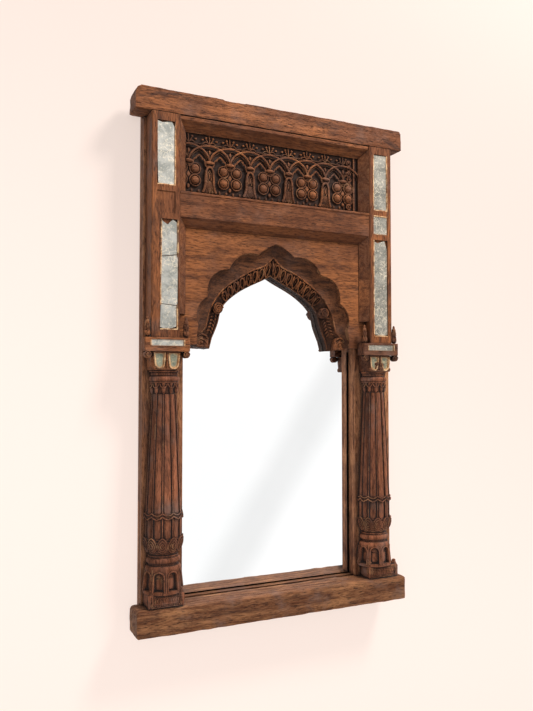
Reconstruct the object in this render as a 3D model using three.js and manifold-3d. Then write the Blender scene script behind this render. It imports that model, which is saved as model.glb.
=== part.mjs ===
// A wall mirror in an antique carved window frame, in millimetres, +Z up, the viewer towards -Y.
// The origin is the middle of the back, on the wall: X = 0 on the frame's centre line, Y = 0 on the
// wall plane and Z = 0 at mid-height. Depths below are counted from the wall to the front, heights
// from the underside of the sill.
import * as THREE from 'three';
import { mergeVertices } from 'three/addons/utils/BufferGeometryUtils.js';
import Module from 'manifold-3d';

const wasm = await Module();
wasm.setup();

// Overall height and width, and the two beams that close the frame.
const frameHeight = 910;
const frameWidth = 532;
const lintelOverhang = 23.3;
const lintelHeight = 42;
const lintelDepth = 45;
const lintelWornCorner = 13;
const sillInset = 4;
const sillHeight = 45;
const sillDepth = 51.5;
const sillShift = 2.5;
const sillFrontEdge = 6;
const beamEdge = 2.5;
const beamHousing = 12;

// Layers behind the carved work.
const battenThickness = 8;
const stileThickness = 24;
const glassThickness = 4;
const seam = 0.3;
const cutOverrun = 5;

// The two stiles and the back rails between them.
const leftStileWidth = 71.2;
const rightStileWidth = 78.3;
const openingSkew = 4.2;
const stileEndGap = 5;
const topBackRailHeight = 45;

// Pilasters, and the aged mirror inlays sunk in them.
const pilasterMargin = 12.8;
const pilasterWidth = 49.5;
const pilasterThickness = 36.3;
const pilasterEdge = 1.5;
const inlayWidth = 31.5;
const inlayRecess = 3;
const inlayThickness = 1.2;
const topInlayHeight = 109;
const squareInlayHeight = 37;
const pilasterHeadMargin = 14;
const inlaySpacing = 10;
const longInlayFootMargin = 13;
const longInlayShift = 6;
const lostInlayRecess = 1.5;

// Column parts from the sill up to the pilaster's foot.
const plinthHeight = 23;
const nicheBodyHeight = 44;
const neckGrooveHeight = 4;
const neckTorusHeight = 10;
const neckHeight = 7;
const petalRingHeight = 23;
const drumHeight = 33;
const leafRingHeight = 10.5;
const shaftShare = 0.494;
const budHeight = 19;
const collarTorusHeight = 11;
const collarLedgeHeight = 9.8;
const bellHeight = 31;
const capitalHeight = 23.3;

// Column sections. The column is a turned form, a little flattened and cut flat where it meets the stile.
const columnInset = 22;
const leftColumnShift = 2.3;
const columnStandoff = 12.5;
const columnDepthShare = 0.87;
const shaftTopRadius = 20.4;
const shaftFootRadius = 30;
const filletPitch = THREE.MathUtils.degToRad(34);
const filletCount = 8;
const filletWidth = 2;
const filletHeight = 1.6;
const filletSlope = 1.4;
const drumRadius = 29;
const leafRingRadius = 33.5;
const petalRingRadius = 32.3;
const leafDrop = 6;
const neckRadius = 25.5;
const neckTorusRadius = 29.2;
const collarTorusRadius = 26.5;
const budRadius = 4;
const turnedSides = 28;

// Column base with its round-headed niches.
const leftPlinthWidth = 61;
const rightPlinthWidth = 65;
const rightPlinthShift = 7;
const plinthDepth = 36;
const plinthEdge = 3;
const nicheBodyFootRadius = 31.5;
const nicheBodyTopRadius = 29.5;
const nicheCount = 8;
const nicheTurn = THREE.MathUtils.degToRad(18);
const nicheWidth = 17;
const nicheHeight = 32;
const nicheFootRise = 4;
const nicheDepth = 5;
const cornerLeafRadius = 6;
const cornerLeafHeight = 14;

// Capital: bell with two petal inlays, and the block above with a strip inlay and side volutes.
const bellFootWidth = 50;
const bellTopWidth = 55;
const bellDepth = 36.5;
const bellFlare = 1.5;
const bellCorner = 7;
const petalWidth = 17;
const petalHeight = 26;
const petalFootShare = 0.8;
const petalSpacing = 24.2;
const petalTopMargin = 2.4;
const petalRecess = 2.6;
const capitalWidth = 78;
const capitalDepth = 40.5;
const capitalEdge = 1.5;
const overhangDepth = 12;
const stripInlayWidth = 57.5;
const stripInlayHeight = 11;
const stripInlayRise = 9;
const voluteRadius = 6;
const voluteDrop = 5.5;
const voluteDepth = 10;
const voluteEyeRadius = 2.4;
const voluteEyeHeight = 1.2;

// Finials on the capital's ends, beside the pilaster's foot.
const finialRadius = 5.6;
const finialHeight = 41;
const finialSides = 12;

// Frieze, its moulding and reveals, and the middle rail.
const friezeHeight = 129.8;
const friezeProjection = 16.8;
const revealWidth = 14.5;
const revealLip = 1;
const friezeMouldingHeight = 21.5;
const friezeMouldingLip = 6;
const friezeMouldingProjection = 33;
const revealProjection = 34.5;
const middleRailHeight = 44;
const middleRailProjection = 34.5;
const middleRailBead = 5;
const beadProjection = 1.2;
const bayCount = 8;
const firstBayInset = 5.4;
const leafStripWidth = 31;
const lastBayInset = 2.4;
const carvingRelief = 4;
const arcWidth = 3;
const arcRise = 29.5;
const padRise = 59;
const padWidth = 13;
const padHeight = 5.4;
const padRelief = 6.5;
const filletLineHeight = 2;
const ballRadius = 8.6;
const ballOffset = 12.5;
const lowerBallRise = 26.5;
const upperBallRise = 46;
const diamondSize = 6;
const pendantWidth = 22;
const pendantHeight = 50;
const pendantFootRise = 6;
const dropWidth = 7;
const dropHeight = 17;
const dropRise = 40;

// Arch board: a cusped arch cut into its face, splayed back in a cove to a carved band.
const archProjection = 18.5;
const archLap = 9.3;
const coveDepth = 15;
const bandDepth = 14;
const mirrorGap = 1;
const archFootDrop = 6;

// Mirror, its battens and the backing board.
const mirrorLap = 14.6;
const mirrorFootLap = 10;
const mirrorHeadLap = 20;
const battenWidth = 46;
const headBattenHeight = 20;
const footBattenHeight = 22;

// Ring hangers on the stiles' backs.
const hangerDrop = 110;
const hangerInset = 33.5;
const ringRadius = 15;
const ringWireRadius = 1.4;
const eyeClearance = 0.7;
const eyeWall = 0.9;
const eyeLength = 6;
const strapWidth = 14;
const strapHeight = 22;
const strapThickness = 1.2;
const strapHoleRadius = 1.9;
const strapHoleSpacing = 9;
const strapFootMargin = 5;

// Planes and lines that several pieces share. The height left over by the other parts is split
// between the shaft and the arch board.
const stileBack = battenThickness;
const stileFront = stileBack + stileThickness;
const beamBack = stileFront - beamHousing;
const sillFront = beamBack + sillDepth;
const lintelFront = beamBack + lintelDepth;
const lintelBottom = frameHeight - lintelHeight;
const archFront = stileFront + archProjection;
const friezeFront = stileFront + friezeProjection;
const seatOnStile = stileFront + seam;
const openingHalfWidth = frameWidth / 2 - lintelOverhang - leftStileWidth + openingSkew;
const openingLeft = openingSkew - openingHalfWidth;
const pilasterInner = openingHalfWidth + pilasterMargin;
const carvedHalfWidth = pilasterInner - seam;
const columnAxis = pilasterInner + columnInset;
const columnAxisDepth = stileFront + columnStandoff;
const columnBack = columnStandoff - seam;
const railTop = lintelBottom - friezeHeight;
const railBottom = railTop - middleRailHeight;
const archTop = railBottom - revealWidth;
const petalRingBase = plinthHeight + nicheBodyHeight + neckGrooveHeight + neckTorusHeight + neckHeight;
const drumBase = petalRingBase + petalRingHeight;
const leafRingBase = drumBase + drumHeight;
const shaftBase = leafRingBase + leafRingHeight;
const headHeight = budHeight + collarTorusHeight + collarLedgeHeight + bellHeight + capitalHeight;
const shaftHeight = shaftShare * (archTop + archLap - sillHeight - shaftBase - headHeight);
const collarBase = shaftBase + shaftHeight;
const bellBase = collarBase + headHeight - bellHeight - capitalHeight;
const capitalBase = bellBase + bellHeight;
const columnHeight = capitalBase + capitalHeight;
const pilasterFoot = sillHeight + columnHeight;
const pilasterHeight = lintelBottom - pilasterFoot;
const archBottom = pilasterFoot - archLap;
const mirrorHalfWidth = openingHalfWidth + mirrorLap;
const mirrorFoot = sillHeight - mirrorFootLap;
const mirrorHead = archTop + mirrorHeadLap;

const wood = new THREE.MeshStandardMaterial({ color: 0x8c5a3e, roughness: 0.62, metalness: 0 });
const darkWood = new THREE.MeshStandardMaterial({ color: 0x6e432c, roughness: 0.66, metalness: 0 });
const plainWood = new THREE.MeshStandardMaterial({ color: 0xa5805a, roughness: 0.75, metalness: 0 });
const agedMirror = new THREE.MeshStandardMaterial({ color: 0xb9bfb8, roughness: 0.4, metalness: 0.6 });
const petalMirror = new THREE.MeshStandardMaterial({ color: 0x9aa08c, roughness: 0.45, metalness: 0.5 });
const silvered = new THREE.MeshStandardMaterial({ color: 0xf2f2ee, roughness: 0.03, metalness: 1 });
const hardboard = new THREE.MeshStandardMaterial({ color: 0x9c7a55, roughness: 0.85, metalness: 0 });
const steel = new THREE.MeshStandardMaterial({ color: 0xb8b4a8, roughness: 0.35, metalness: 1 });

const frame = new THREE.Group();
frame.position.z = -frameHeight / 2;

function point(x, depth, z) {
  return new THREE.Vector3(x, -depth, z);
}

// A geometry as a solid for joining and cutting, and back.
function toSolid(geometry) {
  const bare = geometry.clone();
  bare.deleteAttribute('normal');
  bare.deleteAttribute('uv');
  const merged = mergeVertices(bare);
  const vertProperties = new Float32Array(merged.attributes.position.array);
  const triVerts = new Uint32Array(merged.index.array);
  return new wasm.Manifold(new wasm.Mesh({ numProp: 3, vertProperties, triVerts }));
}

function fromSolid(solid) {
  const mesh = solid.getMesh();
  const geometry = new THREE.BufferGeometry();
  geometry.setAttribute('position', new THREE.Float32BufferAttribute(mesh.vertProperties, 3));
  geometry.setIndex(Array.from(mesh.triVerts));
  geometry.computeVertexNormals();
  return geometry;
}

function join(geometries) {
  const solids = geometries.map(toSolid);
  return solids.reduce((whole, solid) => whole.add(solid));
}

function cut(body, cutters) {
  return cutters.map(toSolid).reduce((whole, solid) => whole.subtract(solid), toSolid(body));
}

// Closes a ring of points with triangles that keep the ring's own direction.
function capFaces(ring) {
  const normal = new THREE.Vector3();
  ring.forEach((corner, i) => {
    const next = ring[(i + 1) % ring.length];
    normal.add(new THREE.Vector3().crossVectors(corner, next));
  });
  const sizes = [Math.abs(normal.x), Math.abs(normal.y), Math.abs(normal.z)];
  const dropped = sizes.indexOf(Math.max(...sizes));
  const flat = ring.map((corner) => {
    const kept = [corner.x, corner.y, corner.z].filter((value, axis) => axis !== dropped);
    return new THREE.Vector2(kept[0], kept[1]);
  });
  const ringArea = THREE.ShapeUtils.area(flat);
  return THREE.ShapeUtils.triangulateShape(flat, []).map((face) => {
    const area = THREE.ShapeUtils.area(face.map((index) => flat[index]));
    return area * ringArea > 0 ? face : [face[0], face[2], face[1]];
  });
}

function signedVolume(positions, indices) {
  const corners = [new THREE.Vector3(), new THREE.Vector3(), new THREE.Vector3()];
  let volume = 0;
  for (let i = 0; i < indices.length; i += 3) {
    corners.forEach((corner, k) => corner.fromArray(positions, 3 * indices[i + k]));
    volume += corners[0].dot(corners[1].cross(corners[2]));
  }
  return volume;
}

// Skins a closed body over rings of equal counts and closes both ends.
function loft(rings) {
  const count = rings[0].length;
  const positions = rings.flat().flatMap((corner) => corner.toArray());
  const indices = [];
  for (let r = 0; r + 1 < rings.length; r += 1) {
    for (let i = 0; i < count; i += 1) {
      const a = r * count + i;
      const b = r * count + ((i + 1) % count);
      indices.push(a, b, b + count, a, b + count, a + count);
    }
  }
  capFaces(rings[0]).forEach((face) => indices.push(face[2], face[1], face[0]));
  const last = (rings.length - 1) * count;
  capFaces(rings.at(-1)).forEach((face) => indices.push(...face.map((index) => index + last)));
  if (signedVolume(positions, indices) < 0) {
    indices.reverse();
  }
  const geometry = new THREE.BufferGeometry();
  geometry.setAttribute('position', new THREE.Float32BufferAttribute(positions, 3));
  geometry.setIndex(indices);
  geometry.computeVertexNormals();
  return geometry;
}

// Outlines are lists of [across, up] pairs.
function outlineShape(outline) {
  return new THREE.Shape(outline.map(([across, up]) => new THREE.Vector2(across, up)));
}

// A front-view outline given in X and Z, cut from a board between two depths.
function boardOf(outline, back, front) {
  const options = { depth: front - back, bevelEnabled: false };
  const geometry = new THREE.ExtrudeGeometry(outlineShape(outline), options);
  const turn = new THREE.Matrix4().makeBasis(
    new THREE.Vector3(1, 0, 0), new THREE.Vector3(0, 0, 1), new THREE.Vector3(0, -1, 0));
  geometry.applyMatrix4(turn);
  geometry.translate(0, -back, 0);
  return geometry;
}

// A side-view outline given in depth and Z, run along X.
function moulding(outline, from, to) {
  const rings = [from, to].map((x) => outline.map(([depth, z]) => point(x, depth, z)));
  return loft(rings);
}

// A plan outline given in X and depth, run up from one height to another.
function standing(outline, from, to) {
  const rings = [from, to].map((z) => outline.map(([x, depth]) => point(x, depth, z)));
  return loft(rings);
}

function block(x0, x1, back, front, bottom, top) {
  return boardOf([[x0, bottom], [x1, bottom], [x1, top], [x0, top]], back, front);
}

// A rectangle whose corners are rounded by their own radii, listed from the lower left, anticlockwise.
function roundedOutline(x0, x1, y0, y1, radii, steps) {
  const corners = [[x0, y0, 1, 1], [x1, y0, -1, 1], [x1, y1, -1, -1], [x0, y1, 1, -1]];
  return corners.flatMap(([x, y, inX, inY], corner) => {
    const radius = radii[corner];
    if (radius === 0) {
      return [[x, y]];
    }
    const start = Math.PI * (1 + corner / 2);
    return Array.from({ length: steps + 1 }, (_, i) => {
      const angle = start + (Math.PI / 2) * (i / steps);
      return [x + radius * (inX + Math.cos(angle)), y + radius * (inY + Math.sin(angle))];
    });
  });
}

// Points on an arc between two places, bowed out to the right of the way by a share of the chord.
function bowed(from, to, bowShare, steps) {
  const chord = [to[0] - from[0], to[1] - from[1]];
  return Array.from({ length: steps }, (_, i) => {
    const t = i / steps;
    const lift = 4 * bowShare * t * (1 - t);
    return [from[0] + t * chord[0] + lift * chord[1], from[1] + t * chord[1] - lift * chord[0]];
  });
}

function addPiece(parent, name, geometry, material, x, depth, z) {
  const mesh = new THREE.Mesh(geometry, material);
  mesh.name = name;
  mesh.position.set(x, -depth, z);
  parent.add(mesh);
}

// Beams: a worn side outline, trimmed to the front outline with its rounded ends.
function beam(width, height, depth, edges, corners) {
  const steps = 4;
  const side = roundedOutline(0, depth, 0, height, edges, steps);
  const front = roundedOutline(-width / 2, width / 2, 0, height, corners, steps);
  const run = moulding(side, -width / 2 - cutOverrun, width / 2 + cutOverrun);
  const face = boardOf(front, -cutOverrun, depth + cutOverrun);
  return fromSolid(toSolid(run).intersect(toSolid(face)));
}

function addBeams() {
  const sillEdges = [beamEdge, beamEdge, sillFrontEdge, beamEdge];
  const sillCorners = [beamEdge, beamEdge, sillFrontEdge, sillFrontEdge];
  const sill = beam(frameWidth - 2 * sillInset, sillHeight, sillDepth, sillEdges, sillCorners);
  addPiece(frame, 'bottom_beam', sill, wood, sillShift, beamBack, 0);
  const lintelEdges = [beamEdge, beamEdge, beamEdge, beamEdge];
  const lintelCorners = [beamEdge, beamEdge, sillFrontEdge, lintelWornCorner];
  const lintel = beam(frameWidth, lintelHeight, lintelDepth, lintelEdges, lintelCorners);
  addPiece(frame, 'top_beam', lintel, wood, 0, beamBack, lintelBottom);
}

// Stiles: full thickness between the beams, and thinned where they pass behind them.
function addStile(name, side, width, innerEdge) {
  const tongue = beamBack - seam;
  const outline = [
    [stileBack, stileEndGap], [tongue, stileEndGap], [tongue, sillHeight + seam],
    [stileFront, sillHeight + seam], [stileFront, lintelBottom - seam], [tongue, lintelBottom - seam],
    [tongue, frameHeight - stileEndGap], [stileBack, frameHeight - stileEndGap],
  ];
  const stile = moulding(outline, 0, side * width);
  addPiece(frame, name, stile, wood, innerEdge, 0, 0);
}

function addBackRails() {
  const left = openingLeft + seam;
  const right = openingHalfWidth - seam;
  const thin = beamBack - seam;
  const bottomRail = block(left, right, 0, thin - stileBack, 0, sillHeight - stileEndGap);
  addPiece(frame, 'bottom_back_rail', bottomRail, plainWood, 0, stileBack, stileEndGap);
  const middleHeight = railTop - archTop - seam;
  const middleRail = block(left, right, 0, stileThickness, 0, middleHeight);
  addPiece(frame, 'middle_back_rail', middleRail, plainWood, 0, stileBack, archTop + seam);
  const topRail = block(left, right, 0, thin - stileBack, 0, topBackRailHeight);
  const topRailFoot = frameHeight - stileEndGap - topBackRailHeight;
  addPiece(frame, 'top_back_rail', topRail, plainWood, 0, stileBack, topRailFoot);
}

// Inlays: each is a thin plate in a recess of the same outline, with the seam all round.
function plateOutline(width, height, chipShares) {
  return chipShares.map(([across, up]) => [across * width, up * height]);
}

const wholePlateShares = [
  [-0.47, 0], [0.49, 0.005], [0.5, 0.97], [0.45, 1], [-0.48, 0.99], [-0.5, 0.03],
];
const wornPlateShares = [
  [-0.44, 0.02], [0.1, 0], [0.5, 0.02], [0.47, 0.5], [0.5, 0.9], [0.3, 1], [-0.2, 0.97], [-0.5, 0.99],
  [-0.48, 0.4],
];
const upperShardShares = [
  [-0.46, 0.661], [0.42, 0.684], [0.47, 0.97], [0.2, 1], [-0.1, 0.95], [-0.44, 0.985],
];
const middleShardShares = [[-0.48, 0.234], [0.46, 0.22], [0.5, 0.678], [-0.46, 0.655]];
const lowerShardShares = [[-0.5, 0.02], [-0.1, 0], [0.46, 0.03], [0.44, 0.214], [-0.46, 0.228]];

function addInlay(parent, name, width, height, shares, material, x, depth, z) {
  const plate = boardOf(plateOutline(width - 2 * seam, height - 2 * seam, shares), 0, inlayThickness);
  addPiece(parent, name, plate, material, x, depth, z);
}

function addPilaster(sideName, side) {
  const group = new THREE.Group();
  const centre = side * (pilasterInner + pilasterWidth / 2);
  group.position.set(centre, -seatOnStile, pilasterFoot + seam);
  frame.add(group);
  const height = pilasterHeight - 2 * seam;
  const thickness = pilasterThickness - seam;
  const topFoot = height - pilasterHeadMargin - topInlayHeight;
  const squareFoot = topFoot - inlaySpacing - squareInlayHeight;
  const longHeight = squareFoot - inlaySpacing - longInlayFootMargin;
  const longShift = side < 0 ? longInlayShift : 0;
  const floor = thickness - inlayRecess;
  const recesses = [
    [0, topFoot, topInlayHeight, floor],
    [0, squareFoot, squareInlayHeight, side < 0 ? thickness - lostInlayRecess : floor],
    [longShift, longInlayFootMargin, longHeight, floor],
  ];
  const plan = [
    [-pilasterWidth / 2, 0], [pilasterWidth / 2, 0], [pilasterWidth / 2, thickness - pilasterEdge],
    [pilasterWidth / 2 - pilasterEdge, thickness], [pilasterEdge - pilasterWidth / 2, thickness],
    [-pilasterWidth / 2, thickness - pilasterEdge],
  ];
  const cutters = recesses.map(([x, foot, tall, level]) => (
    block(x - inlayWidth / 2, x + inlayWidth / 2, level, thickness + cutOverrun, foot, foot + tall)));
  const pilaster = fromSolid(cut(standing(plan, 0, height), cutters));
  addPiece(group, `${sideName}_pilaster`, pilaster, wood, 0, 0, 0);
  const level = floor + seam;
  const topShares = side < 0 ? wornPlateShares : wholePlateShares;
  addInlay(group, `${sideName}_top_inlay`, inlayWidth, topInlayHeight, topShares, agedMirror,
    0, level, topFoot + seam);
  if (side < 0) {
    [upperShardShares, middleShardShares, lowerShardShares].forEach((shares, i) => {
      addInlay(group, `left_long_inlay_${i + 1}`, inlayWidth, longHeight, shares, agedMirror,
        longShift, level, longInlayFootMargin + seam);
    });
  } else {
    addInlay(group, 'right_square_inlay', inlayWidth, squareInlayHeight, wholePlateShares, agedMirror,
      0, level, squareFoot + seam);
    addInlay(group, 'right_long_inlay', inlayWidth, longHeight, wornPlateShares, agedMirror,
      0, level, longInlayFootMargin + seam);
  }
}

// Column sections: raised fillets at a steady pitch, with wide flats between them. Each stop is an
// angle from the front with how much of a fillet and how much of a leaf it carries.
function fluteStops(radius) {
  const half = filletWidth / 2 / radius;
  const foot = half + filletSlope / radius;
  const stops = [];
  for (let k = 0; k < filletCount; k += 1) {
    const angle = (k - (filletCount - 1) / 2) * filletPitch;
    stops.push([angle - foot, 0, 0], [angle - half, 1, 0], [angle + half, 1, 0], [angle + foot, 0, 0]);
    if (k + 1 < filletCount) {
      stops.push([angle + filletPitch / 2, 0, 1]);
    }
  }
  stops.push([Math.PI, 0, 0]);
  return stops;
}

function columnRing(stops, radiusAt, heightAt) {
  return stops.map(([angle, fillet, leaf]) => {
    const radius = radiusAt(fillet, leaf);
    const across = radius * Math.sin(angle);
    const forward = radius * Math.cos(angle) * columnDepthShare;
    return point(across, forward, heightAt(fillet, leaf));
  });
}

// Takes away what lies behind the flat where a column part meets the stile.
function flatBacked(solid, half, bottom, top) {
  const reach = half + cutOverrun;
  const behind = block(-reach, reach, -reach, -columnBack, bottom - cutOverrun, top + cutOverrun);
  return fromSolid(solid.subtract(toSolid(behind)));
}

function shaftGeometry() {
  const stops = fluteStops(shaftTopRadius);
  const foot = columnRing(stops, (fillet) => shaftFootRadius + fillet * filletHeight, () => seam);
  const head = columnRing(stops, (fillet) => shaftTopRadius + fillet * filletHeight, () => shaftHeight);
  return flatBacked(toSolid(loft([foot, head])), shaftFootRadius, 0, shaftHeight);
}

// Drum between two rings of carved leaves: petals that curl at their feet below, a wavy hem above.
function drumGeometry() {
  const stops = fluteStops(drumRadius);
  const petalTop = petalRingHeight;
  const leafFoot = petalRingHeight + drumHeight;
  const top = leafFoot + leafRingHeight;
  const curl = petalRingRadius - neckRadius;
  const swell = (share) => (fillet, leaf) => neckRadius + share * curl + fillet * filletHeight
    - leaf * filletHeight / 2;
  const fluted = (fillet) => drumRadius + fillet * filletHeight;
  const levels = [
    [() => neckRadius, () => seam],
    [swell(0.55), (fillet, leaf) => seam + leaf * leafDrop / 2],
    [swell(1), (fillet, leaf) => leafDrop / 2 + leaf * leafDrop / 2],
    [swell(0.75), () => petalTop / 2],
    [swell(1), (fillet, leaf) => petalTop - leaf * leafDrop],
    [fluted, (fillet, leaf) => petalTop - leaf * leafDrop + seam],
    [fluted, (fillet, leaf) => leafFoot + leafDrop - leaf * leafDrop],
    [(fillet) => leafRingRadius + fillet * filletHeight / 2,
      (fillet, leaf) => leafFoot + leafDrop - leaf * leafDrop + seam],
    [() => leafRingRadius - filletHeight / 2, () => top - filletHeight],
    [() => leafRingRadius - filletHeight, () => top],
  ];
  const rings = levels.map(([radiusAt, heightAt]) => columnRing(stops, radiusAt, heightAt));
  return flatBacked(toSolid(loft(rings)), leafRingRadius, 0, top);
}

function turned(profile, sides) {
  const geometry = new THREE.LatheGeometry(
    profile.map(([radius, z]) => new THREE.Vector2(radius, z)), sides);
  geometry.rotateX(Math.PI / 2);
  geometry.scale(1, columnDepthShare, 1);
  return geometry;
}

// Collar: turned ring over a row of hanging buds, one on each fillet of the shaft.
function collarGeometry() {
  const torusFoot = budHeight;
  const ledgeFoot = torusFoot + collarTorusHeight;
  const top = ledgeFoot + collarLedgeHeight - seam;
  const rim = collarTorusRadius - filletHeight;
  const profile = [
    [0, seam], [shaftTopRadius, seam], [shaftTopRadius, torusFoot - seam], [rim, torusFoot],
    [collarTorusRadius, torusFoot + collarTorusHeight * 0.3],
    [collarTorusRadius, torusFoot + collarTorusHeight * 0.7], [rim, ledgeFoot],
    [shaftTopRadius, ledgeFoot + seam], [shaftTopRadius, ledgeFoot + collarLedgeHeight / 2],
    [rim, ledgeFoot + collarLedgeHeight * 0.6], [rim, top], [0, top],
  ];
  const budProfile = [
    [0, 0], [budRadius * 0.62, budHeight * 0.2], [budRadius, budHeight * 0.5],
    [budRadius * 0.9, budHeight * 0.75], [budRadius * 0.5, budHeight], [0, budHeight],
  ];
  const buds = [];
  const budSides = 8;
  for (let k = 1; k + 1 < filletCount; k += 1) {
    const angle = (k - (filletCount - 1) / 2) * filletPitch;
    const bud = turned(budProfile, budSides);
    const forward = shaftTopRadius * Math.cos(angle) * columnDepthShare;
    bud.translate(shaftTopRadius * Math.sin(angle), -forward, seam);
    buds.push(bud);
  }
  return flatBacked(join([turned(profile, turnedSides), ...buds]), collarTorusRadius, 0, top);
}

// Base: plinth with leaves on its front corners, a body with round-headed niches, ring and neck.
function nicheCutter(angle) {
  const half = nicheWidth / 2;
  const spring = nicheFootRise + nicheHeight - half;
  const headSteps = 8;
  const outline = [[-half, nicheFootRise], [half, nicheFootRise]];
  for (let i = 0; i <= headSteps; i += 1) {
    const around = Math.PI * (i / headSteps);
    outline.push([half * Math.cos(around), spring + half * Math.sin(around)]);
  }
  const reach = nicheBodyFootRadius + cutOverrun;
  const cutter = boardOf(outline, nicheBodyTopRadius - nicheDepth, reach);
  cutter.rotateZ(angle);
  cutter.scale(1, columnDepthShare, 1);
  cutter.translate(0, 0, plinthHeight);
  return cutter;
}

function baseGeometry(plinthWidth, plinthShift) {
  const bodyTop = plinthHeight + nicheBodyHeight;
  const torusFoot = bodyTop + neckGrooveHeight;
  const torusTop = torusFoot + neckTorusHeight;
  const top = torusTop + neckHeight - seam;
  const groove = neckTorusRadius - neckGrooveHeight;
  const profile = [
    [0, plinthHeight - seam], [nicheBodyFootRadius, plinthHeight - seam],
    [nicheBodyFootRadius, plinthHeight + nicheFootRise / 2],
    [(nicheBodyFootRadius + nicheBodyTopRadius) / 2, plinthHeight + nicheBodyHeight * 0.35],
    [nicheBodyTopRadius, bodyTop - nicheFootRise], [nicheBodyTopRadius, bodyTop],
    [groove, bodyTop + seam], [groove, torusFoot], [neckTorusRadius, torusFoot + neckTorusHeight * 0.3],
    [neckTorusRadius, torusFoot + neckTorusHeight * 0.7], [groove, torusTop], [neckRadius, top], [0, top],
  ];
  const half = plinthWidth / 2;
  const front = plinthDepth - columnStandoff;
  const inner = plinthShift - half;
  const outer = plinthShift + half;
  const plan = roundedOutline(inner, outer, -columnBack, front, [0, 0, plinthEdge, plinthEdge], 3);
  const plinth = standing(plan, seam, plinthHeight);
  const leaves = [-1, 1].map((side) => {
    const leaf = new THREE.SphereGeometry(cornerLeafRadius, 8, 6);
    leaf.scale(1, 1, cornerLeafHeight / cornerLeafRadius);
    const x = plinthShift + side * (half - cornerLeafRadius);
    leaf.translate(x, cornerLeafRadius - front, plinthHeight);
    return leaf;
  });
  const niches = [];
  for (let k = 0; k < nicheCount / 2; k += 1) {
    niches.push(nicheCutter(nicheTurn + (k - nicheCount / 4) * (2 * Math.PI / nicheCount)));
  }
  const body = cut(turned(profile, turnedSides), niches);
  const whole = body.add(join([plinth, ...leaves]));
  return flatBacked(whole, half + plinthShift, 0, top);
}

// Capital bell: a flared block with two U-shaped recesses for the petal inlays.
function petalOutline(width, height) {
  const half = width / 2;
  const foot = half * petalFootShare;
  const steps = 8;
  const outline = [];
  for (let i = 0; i <= steps; i += 1) {
    const around = Math.PI * (1 + i / steps);
    outline.push([foot * Math.cos(around), foot + foot * Math.sin(around)]);
  }
  outline.push([half, height], [-half, height]);
  return outline;
}

function addBell(group, sideName) {
  const top = bellHeight - seam;
  const front = bellDepth - columnStandoff;
  const levels = [[0, seam], [0.12, bellHeight * 0.35], [0.5, bellHeight * 0.7], [1, top]];
  const rings = levels.map(([share, z]) => {
    const half = THREE.MathUtils.lerp(bellFootWidth, bellTopWidth, share) / 2;
    const face = front - bellFlare * (1 - share);
    const plan = roundedOutline(-half, half, -columnBack, face, [0, 0, bellCorner, bellCorner], 4);
    return plan.map(([x, depth]) => point(x, depth, z));
  });
  const foot = bellHeight - petalTopMargin - petalHeight;
  const floor = front - bellFlare - petalRecess;
  const places = [-petalSpacing / 2, petalSpacing / 2];
  const cutters = places.map((x) => {
    const cutter = boardOf(petalOutline(petalWidth, petalHeight), floor, front + cutOverrun);
    cutter.translate(x, 0, foot);
    return cutter;
  });
  const bell = fromSolid(cut(loft(rings), cutters));
  addPiece(group, `${sideName}_capital_bell`, bell, darkWood, 0, 0, bellBase);
  places.forEach((x, i) => {
    const outline = petalOutline(petalWidth - 2 * seam, petalHeight - 2 * seam);
    const plate = boardOf(outline, 0, inlayThickness);
    const name = `${sideName}_petal_inlay_${i + 1}`;
    addPiece(group, name, plate, petalMirror, x, floor + seam, bellBase + foot + seam);
  });
}

// Capital block: stepped round the arch board at its inner end, with a thin overhang at the front of
// its outer end, in line with the pilaster behind it, and a volute under each end.
function addCapital(group, sideName, side) {
  const half = capitalWidth / 2;
  const front = capitalDepth - columnStandoff;
  const boardFront = archProjection - columnStandoff + seam;
  const step = side * (columnAxis - pilasterInner);
  const outer = side * half;
  const lined = side * (pilasterWidth - columnInset);
  const plan = [
    [lined, -columnBack], [lined, front - overhangDepth], [outer, front - overhangDepth],
    [outer, front - capitalEdge], [outer - side * capitalEdge, front],
    [side * capitalEdge - outer, front], [-outer, front - capitalEdge], [-outer, boardFront],
    [-step, boardFront], [-step, -columnBack],
  ];
  const floor = front - inlayRecess;
  const strip = block(-stripInlayWidth / 2, stripInlayWidth / 2, floor, front + cutOverrun,
    stripInlayRise, stripInlayRise + stripInlayHeight);
  const body = cut(standing(plan, seam, capitalHeight), [strip]);
  const voluteSides = 16;
  const volutes = [-1, 1].map((end) => {
    const x = end * (half - voluteRadius);
    const scroll = new THREE.CylinderGeometry(voluteRadius, voluteRadius, voluteDepth, voluteSides);
    scroll.translate(x, capitalEdge + voluteDepth / 2 - front, voluteRadius - voluteDrop * 2);
    return scroll;
  });
  const eyes = [-1, 1].map((end) => {
    const x = end * (half - voluteRadius);
    const eye = new THREE.CylinderGeometry(voluteEyeRadius, voluteEyeRadius, voluteEyeHeight * 2, 10);
    eye.translate(x, capitalEdge - front, voluteRadius - voluteDrop * 2);
    return eye;
  });
  const capital = fromSolid(body.add(join([...volutes, ...eyes])));
  addPiece(group, `${sideName}_capital_block`, capital, darkWood, 0, 0, capitalBase);
  addInlay(group, `${sideName}_strip_inlay`, stripInlayWidth, stripInlayHeight, wholePlateShares,
    agedMirror, 0, floor + seam, capitalBase + stripInlayRise + seam);
}

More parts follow.
